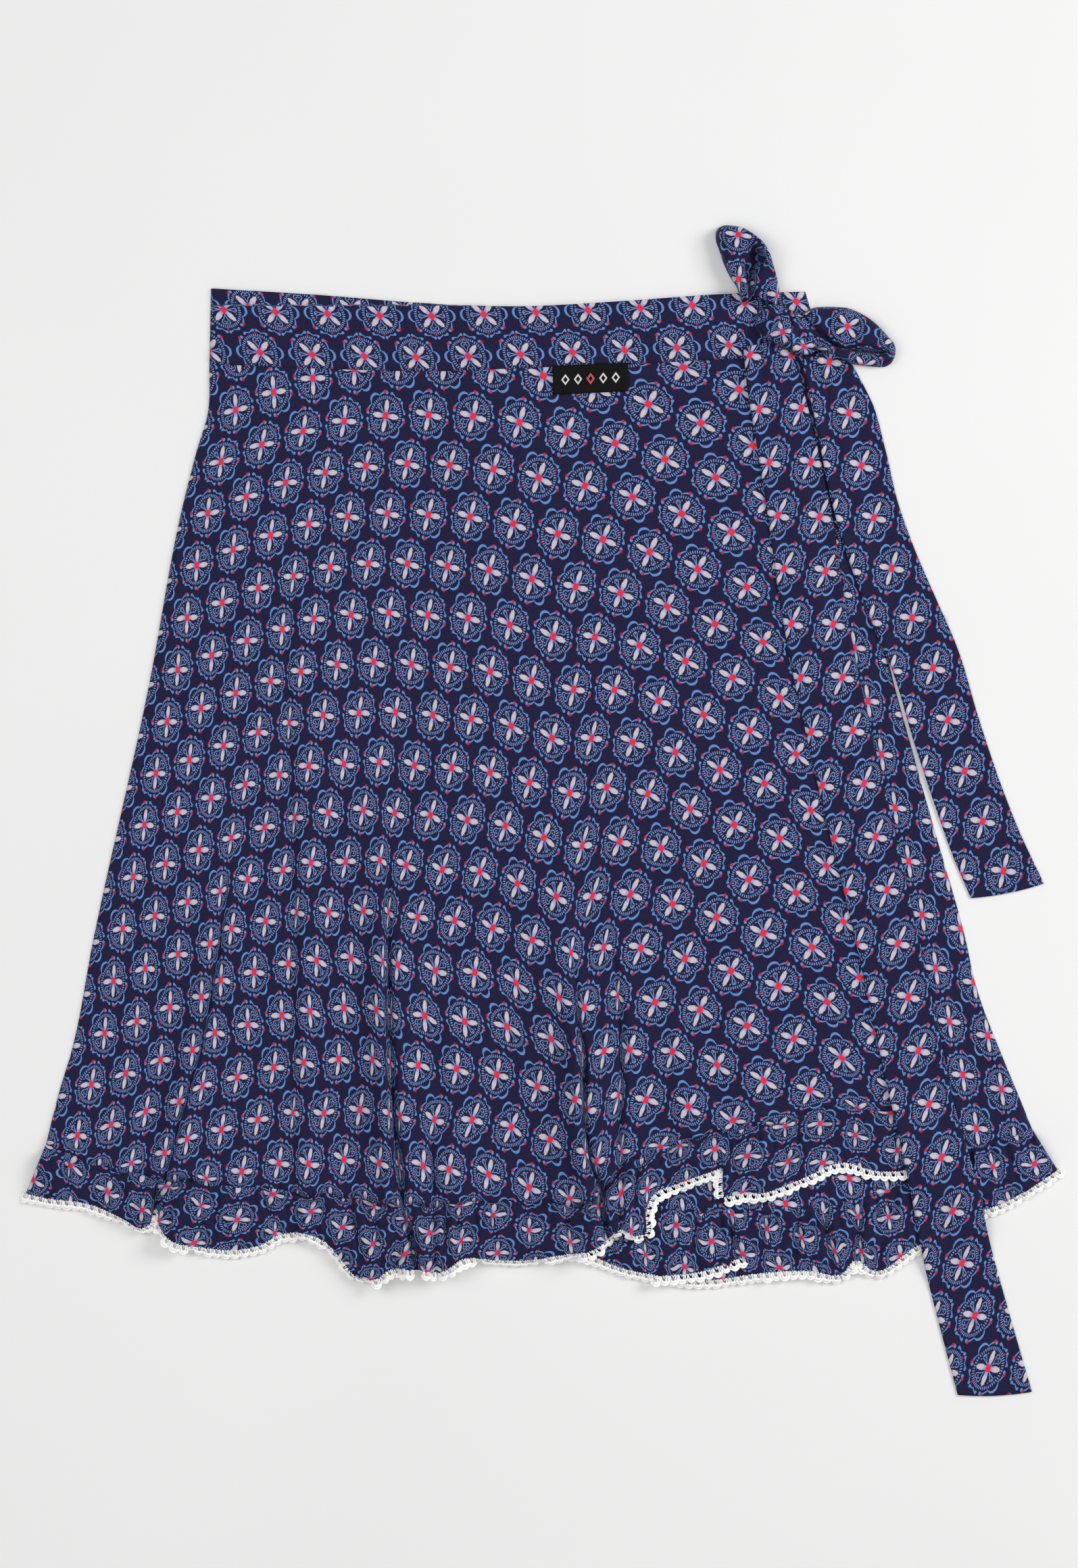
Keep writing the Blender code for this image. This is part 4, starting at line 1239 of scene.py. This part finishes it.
# %% Lay the three layers
def dress(names, edges, hem, folds, creases, place, gather, sizes, waist, sides=(), doubled=None):
    """One layer: panel, strip, waistband and lace. Sizes are columns and rows of the first two."""
    panel_name, strip_name, band_name, lace_name = names
    sewn_to = panel(panel_name, edges, folds, creases, place, gather, *sizes[:2], sides)
    gathered = ruffle(strip_name, edges[1], curve(hem), folds, creases, gather, *sizes[2:],
                      sewn_to, sides)
    band(band_name, *waist, sides)
    lace(lace_name, *gathered, doubled)
    PILE.close_layer()


BACK_IN = 5.0  # mm by which the back stays inside the fronts' side folds
back_edges = [drawn_in(curve(line), first * BACK_IN, last * BACK_IN) for line, first, last in (
    (WAIST_SEAM, 1, -1), (BACK_SEAM, 1, -1), (LEFT_SIDE, 1, 1), (RIGHT_SIDE, -1, -1))]
dress(["skirt_back", "back_strip", "waistband_behind", "back_lace_edging"], back_edges, BACK_HEM,
      [], [], BACK_RING, BACK_GATHER, (120, 110, 420, 16), (0.013, 0.987))

seam_line = curve(WAIST_SEAM)
inner_edges = (cut_short(seam_line, share_at_x(seam_line, -40), 1.0),
               uneven(curve(INNER_SEAM), 4), curve(UNDER_EDGE), curve(RIGHT_SIDE))
dress(["skirt_front_under", "inner_strip", "waistband_under", "inner_lace_edging"], inner_edges,
      INNER_HEM, INNER_FOLDS, [], INNER_GRAIN, INNER_GATHER, (150, 140, 560, 30), (0.45, 1.0),
      ["right"], curve(TURNED_BACK))

outer_edges = (cut_short(seam_line, 0.0, share_at_x(seam_line, 150)),
               uneven(curve(OUTER_SEAM), 6), curve(LEFT_SIDE), curve(WRAP_EDGE))
dress(["skirt_front", "outer_strip", "waistband_front", "outer_lace_edging"], outer_edges,
      OUTER_HEM, OUTER_FOLDS, OUTER_CREASES, OUTER_RING, OUTER_GATHER, (318, 140, 860, 32),
      (0.0, 0.93), ["left"])

# %% Lay the ties
tie("tie_long_end", LONG_TIE, LONG_GRAIN)
PILE.close_layer()
tie("tie_short_end", SHORT_TIE, SHORT_GRAIN, [185])
PILE.close_layer()

# %% [markdown]
# ## The bow
# Each loop is the tie's band, turned back at the tip. From above it reads as a horseshoe: a
# plump outer rim that rolls down to the surface, and a slit or hollow between the two legs. So a
# loop is drawn with two lines, the outer rim and the inner slit, and a rounded section between
# them. Its print is laid out from the crest both ways by true length, so it doesn't smear down
# the sides.

# %% The bow's lines
Rim = namedtuple("Rim", "outer_x outer_y inner_x inner_y height")
LOOP_UP = [
    Rim(127, 321, 131, 323, 5), Rim(122.4, 333, 130.6, 331, 9), Rim(118.2, 340, 129.6, 337, 11),
    Rim(114.8, 347.5, 128.6, 342, 12), Rim(112.2, 355.5, 129.5, 346, 12),
    Rim(109.9, 363, 132.4, 348.5, 11), Rim(110.8, 368.3, 133.1, 351, 10),
    Rim(114.8, 370.9, 134.5, 353.6, 10), Rim(120.5, 370.8, 136.5, 355, 11),
    Rim(127, 369.5, 138.8, 354.6, 12), Rim(133.5, 365.5, 140.5, 352.5, 13),
    Rim(139.6, 360.3, 141.2, 350, 13), Rim(143.8, 354.6, 140.8, 347.5, 12),
    Rim(146.2, 347.5, 139.5, 345.3, 11), Rim(148.1, 341, 136.5, 343.8, 11),
    Rim(149.6, 334.5, 133.4, 340, 10), Rim(150.3, 328, 131.9, 333, 8), Rim(149, 320, 132, 326, 5),
]
LOOP_SIDE = [
    Rim(165.4, 315, 172, 305.5, 5), Rim(171.3, 318.2, 176.2, 302.1, 8),
    Rim(179.2, 319.4, 181, 298, 9), Rim(187.1, 319.3, 186, 294.5, 10),
    Rim(194, 318.5, 191, 293, 10), Rim(200.9, 315.8, 196, 292.2, 10),
    Rim(207.8, 311.8, 201, 291.6, 10), Rim(213.7, 306.8, 206.5, 291, 9.5),
    Rim(219.6, 300.3, 212, 290.7, 9), Rim(223.4, 296, 217, 290.7, 8),
    Rim(224.4, 291, 219, 290.4, 7), Rim(223.4, 286.6, 217, 289.9, 6),
    Rim(221.2, 283.2, 212, 289.7, 6), Rim(217.7, 281.3, 206.5, 290.1, 6),
    Rim(211.8, 281.2, 201, 290.7, 6), Rim(204.8, 281.8, 196, 291.3, 6),
    Rim(196.9, 282.7, 191, 292.2, 6), Rim(190.5, 286, 186, 293.7, 6), Rim(184, 288.6, 181, 297, 6),
    Rim(177.5, 290.5, 176, 301, 5), Rim(170.5, 294, 172, 303.5, 4),
]
SECTION = [  # share of the way in, share of the height
    (0.0, 0.0), (0.01, 0.25), (0.04, 0.48), (0.1, 0.7), (0.2, 0.87), (0.34, 0.98), (0.5, 1.0),
    (0.66, 0.95), (0.8, 0.83), (0.91, 0.62), (0.97, 0.4), (1.0, 0.2),
]


# %% A loop's surface
LOOP_COLUMNS, LOOP_ROWS = 150, 30
LOOP_PRINT = 1.12  # the loops' cloth is eased, so its print looks this much smaller


def bow_loop(name, rims, turn, flower):
    """A loop between its rim and its slit, with the slit's bottom closed by the cloth below.

    The print is turned by an angle, and one flower of it sits at the given place."""
    outer = [(r.outer_x, r.outer_y) for r in rims]
    inner = [(r.inner_x, r.inner_y) for r in rims]
    knots, fine = spaced(len(rims)), spaced(LOOP_COLUMNS)
    rim, slit = [curve(line)(np.interp(fine, knots, length_shares(line)))
                 for line in (outer, inner)]
    high = np.interp(fine, knots, [r.height for r in rims])
    way, rise = np.array(SECTION).T
    wide = spaced(LOOP_ROWS)
    w = np.interp(wide, spaced(len(way)), way)
    h = np.interp(wide, spaced(len(way)), rise)
    xy = (1 - w)[:, None, None] * rim[None] + w[:, None, None] * slit[None]
    middle = (slit + slit[::-1]) / 2
    xy = np.concatenate([xy, middle[None]])
    h = np.concatenate([h, [0.1]])
    foot = relaxed(PILE.under(xy, 3.0), 12) + CLOTH + 0.1
    uneven = 1 + 0.1 * np.sin(fine * 19 + 1.3) + 0.05 * np.sin(fine * 43 + 0.4)
    z = foot + h[:, None] * (high * uneven)[None]
    root = np.minimum(fine, 1 - fine) * 100  # creases run out of the knot along both legs
    gathers = 1.1 * np.cos(wide * 17 + 0.8)[:, None] * bell(root / 22)
    crumples = 0.35 * np.sin(wide * 11 + 1.0)[:, None] * np.sin(fine * 31)
    z[:-1] += (gathers + crumples) * h[:-1, None]
    crest = int(np.argmax(h))
    run = cloth_run(xy, z, 0)
    run = run - run[crest]
    spread = (xy[crest] + unit(slit - rim) * run[..., None] - flower) * LOOP_PRINT
    cloth_sheet(name, xy, z, turned(spread[..., 0], spread[..., 1], -turn))


# %% The knot
KNOT_PLACE = np.array([156.0, 304.5])
KNOT_LONG, KNOT_WIDE, KNOT_HIGH = 42.0, 23.0, 7.0
KNOT_TURN = math.radians(-27)
Groove = namedtuple("Groove", "at slant deep wide")
KNOT_GROOVES = [
    Groove(-0.66, 0.32, 2.4, 0.07), Groove(-0.36, 0.1, 1.6, 0.05), Groove(0.06, -0.34, 3.0, 0.06),
    Groove(0.34, 0.3, 1.8, 0.05), Groove(0.62, 0.42, 3.2, 0.07),
]
KNOT_SWALLOWS = 2.2  # mm of cloth in a groove for each mm of its depth


def knot(name):
    """The wrap of cloth over the roots of the loops: a low dome with a few creases across."""
    along = np.linspace(-1, 1, 70)[None, :]
    beside = np.linspace(-1, 1, 40)[:, None]
    full = np.clip(1 - np.abs(along) ** 3, 0, 1) ** 0.5
    x = along * KNOT_LONG / 2 + 0 * beside
    y = beside * KNOT_WIDE / 2 * (0.35 + 0.65 * full)
    xy = KNOT_PLACE + turned(x, y, KNOT_TURN)
    dome = np.sqrt(np.clip(1 - beside**2, 0, 1)) ** 0.8 * full
    high = KNOT_HIGH * dome
    swallowed = 0 * dome
    for g in KNOT_GROOVES:
        line = (along - g.at - g.slant * beside - 0.05 * np.sin(beside * 4 + g.at * 9)) / g.wide
        high = high + g.deep * (0.4 * bell(line / 2.6) - bell(line)) * dome
        swallowed = swallowed + KNOT_SWALLOWS * g.deep * smoothstep(line / 1.5 + 0.5)
    foot = relaxed(PILE.under(xy, 3.0), 20) + CLOTH + 0.1
    cut = np.dstack([x * 1.1 + swallowed - 6.0, y * 1.3 + 6.0 + 2.5 * along])
    cloth_sheet(name, xy, foot + high, cut)


knot("bow_knot_wrap")
bow_loop("bow_loop_standing", LOOP_UP, 0.6, (124.0, 364.0))
bow_loop("bow_loop_lying", LOOP_SIDE, -0.2, (193.2, 306.0))

# %% [markdown]
# ## The label
# A woven tab is taffeta: fine ribs with a slight sheen. This one is plain black, with a row of
# small woven diamonds where a shop would have its words. Its ends are folded under and sewn into
# the waist seam, so it lies over band and panel.

# %% Label
LABEL_LEFT, LABEL_TOP, LABEL_TILT = 6.4, 282.3, 0.045
LABEL_WIDE, LABEL_DEEP = 48.0, 18.0
DIAMOND = 8.0  # mm from diamond to diamond


def woven_taffeta():
    """Black satin-backed taffeta: fine cross ribs that catch a little light."""
    material, tree = new_finish("woven_polyester_taffeta",
                                {"Roughness": 0.62, "Specular IOR Level": 0.15})
    cut = add_node(tree, "ShaderNodeUVMap", uv_map="cut")
    split = add_node(tree, "ShaderNodeSeparateXYZ", {0: cut})
    x, y = [Amount(tree, split.outputs[i]) for i in (0, 1)]
    from_middle = x - LABEL_WIDE / 2
    diamond = from_middle.to_nearest(DIAMOND).size() + (y - LABEL_DEEP / 2).size() * 0.75
    white = diamond.inside(2.6, 0.3) * diamond.outside(1.5, 0.3)
    white = white * from_middle.size().inside(2.5 * DIAMOND, 0.1)
    centre = from_middle.size().inside(DIAMOND / 2, 0.1)
    colour = mixed(tree, white * 0.9, linear("070708"), linear("E9E6E3"))
    colour = mixed(tree, white * centre * 0.95, colour, linear("D2273A"))
    ribs = add_node(tree, "ShaderNodeTexWave", {"Vector": cut, "Scale": 0.9,
                                                "Distortion": 0.3}, bands_direction="Y")
    finished(tree, colour, ribs, 0.5, 0.08)
    return material


TAFFETA = woven_taffeta()


def label_tab(name):
    """The tab as a low cushion over the seam, a little aslant."""
    across = np.linspace(0, LABEL_WIDE, 60)
    down = np.linspace(0, LABEL_DEEP, 24)
    x, y = np.meshgrid(across, down)
    xy = np.dstack([LABEL_LEFT + x, LABEL_TOP - y + LABEL_TILT * (x - LABEL_WIDE / 2)])
    foot = relaxed(PILE.under(xy, 3.0), 16)
    edge = np.minimum(np.minimum(x, LABEL_WIDE - x), np.minimum(y, LABEL_DEEP - y))
    z = foot + 0.8 + 0.5 * smoothstep(edge / 1.2) + 0.25 * np.sin(x / 9 + 0.7) * y / LABEL_DEEP
    cloth_sheet(name, xy, z, np.dstack([x, LABEL_DEEP - y]), CLOTH, TAFFETA)


label_tab("label_tab")
print("label is", LABEL_WIDE, "by", LABEL_DEEP, "mm")


# %% [markdown]
# ## The floor
# A plain pale surface. It isn't part of the skirt.

# %% Floor
def matt_paper():
    """Plain pale paper, very slightly clouded."""
    material, tree = new_finish("matt_white_paper", {"Roughness": 0.9})
    place = add_node(tree, "ShaderNodeTexCoord")
    cloud = add_node(tree, "ShaderNodeTexNoise", {"Vector": place.outputs["Object"],
                                                  "Scale": 3.0, "Detail": 2.0})
    finished(tree, mixed(tree, cloud, linear("F0F0EF"), linear("F6F6F5")))
    return material


bpy.ops.mesh.primitive_plane_add(size=8.0, location=(0, 0, 0))
floor = bpy.context.object
floor.name = "floor"
floor.data.transform(floor.matrix_world)
floor.location = (0, 0, -0.00005)
floor.data.materials.append(matt_paper())

# %% [markdown]
# ## Tie everything to the frame
# Each piece rides on the skirt's one body and stands for its solid, which is hidden. The table
# also lists the slot that its finish comes from, and for sheets of cloth how large they were cut.
# The panels are cut as parts of a ring, so their area is less than width times length.

# %% Ride and replace
# From held on, a row says how a sheet of cloth lies, on what, its flat size and what is sewn to it.
Part = namedtuple("Part", "piece node slot held rests_on width length area sewn_on",
                  defaults=[None] * 6)
CLOTH_SLOT = "print_cloth"
PARTS = [
    Part("skirt_back", "back_panel", CLOTH_SLOT, "laid", "floor", 0.64, 0.545, 0.262),
    Part("back_strip", "back_ruffle", CLOTH_SLOT, "laid", "floor", 0.66, 0.045, 0.0275,
         "back_lace_edging"),
    Part("back_lace_edging", "back_lace", "lace"),
    Part("waistband_behind", "waistband_back", CLOTH_SLOT, "laid", "floor", 0.376, 0.046, 0.0172),
    Part("skirt_front_under", "inner_front_panel", CLOTH_SLOT, "laid", "skirt_back", 0.43, 0.545,
         0.165),
    Part("inner_strip", "inner_front_ruffle", CLOTH_SLOT, "gathered", "back_strip", 0.53, 0.047,
         0.0245, "inner_lace_edging"),
    Part("inner_lace_edging", "inner_front_lace", "lace"),
    Part("waistband_under", "waistband_inner", CLOTH_SLOT, "laid", "waistband_behind", 0.212,
         0.046, 0.0097),
    Part("skirt_front", "outer_front_panel", CLOTH_SLOT, "laid", "skirt_front_under", 0.727,
         0.512, 0.268),
    Part("outer_strip", "outer_front_ruffle", CLOTH_SLOT, "gathered", "inner_strip", 0.76, 0.047,
         0.0350, "outer_lace_edging"),
    Part("outer_lace_edging", "outer_front_lace", "lace"),
    Part("waistband_front", "waistband_outer", CLOTH_SLOT, "laid", "waistband_under", 0.358,
         0.046, 0.0164),
    Part("label_tab", "label", "label", "laid", "waistband_front", 0.048, 0.018),
    Part("tie_long_end", "tie_long", CLOTH_SLOT, "laid", "skirt_front", 0.69, 0.044),
    Part("tie_short_end", "tie_short", CLOTH_SLOT, "laid", "waistband_under", 0.37, 0.044),
    Part("bow_knot_wrap", "bow_knot", CLOTH_SLOT, "gathered", "tie_long_end", 0.048, 0.032),
    Part("bow_loop_standing", "bow_loop_up", CLOTH_SLOT, "folded", "waistband_front", 0.075,
         0.044),
    Part("bow_loop_lying", "bow_loop_side", CLOTH_SLOT, "folded", "tie_short_end", 0.075, 0.044),
]
for part in PARTS:
    piece = bpy.data.objects[part.piece]
    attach(piece, "root")
    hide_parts(part.node)
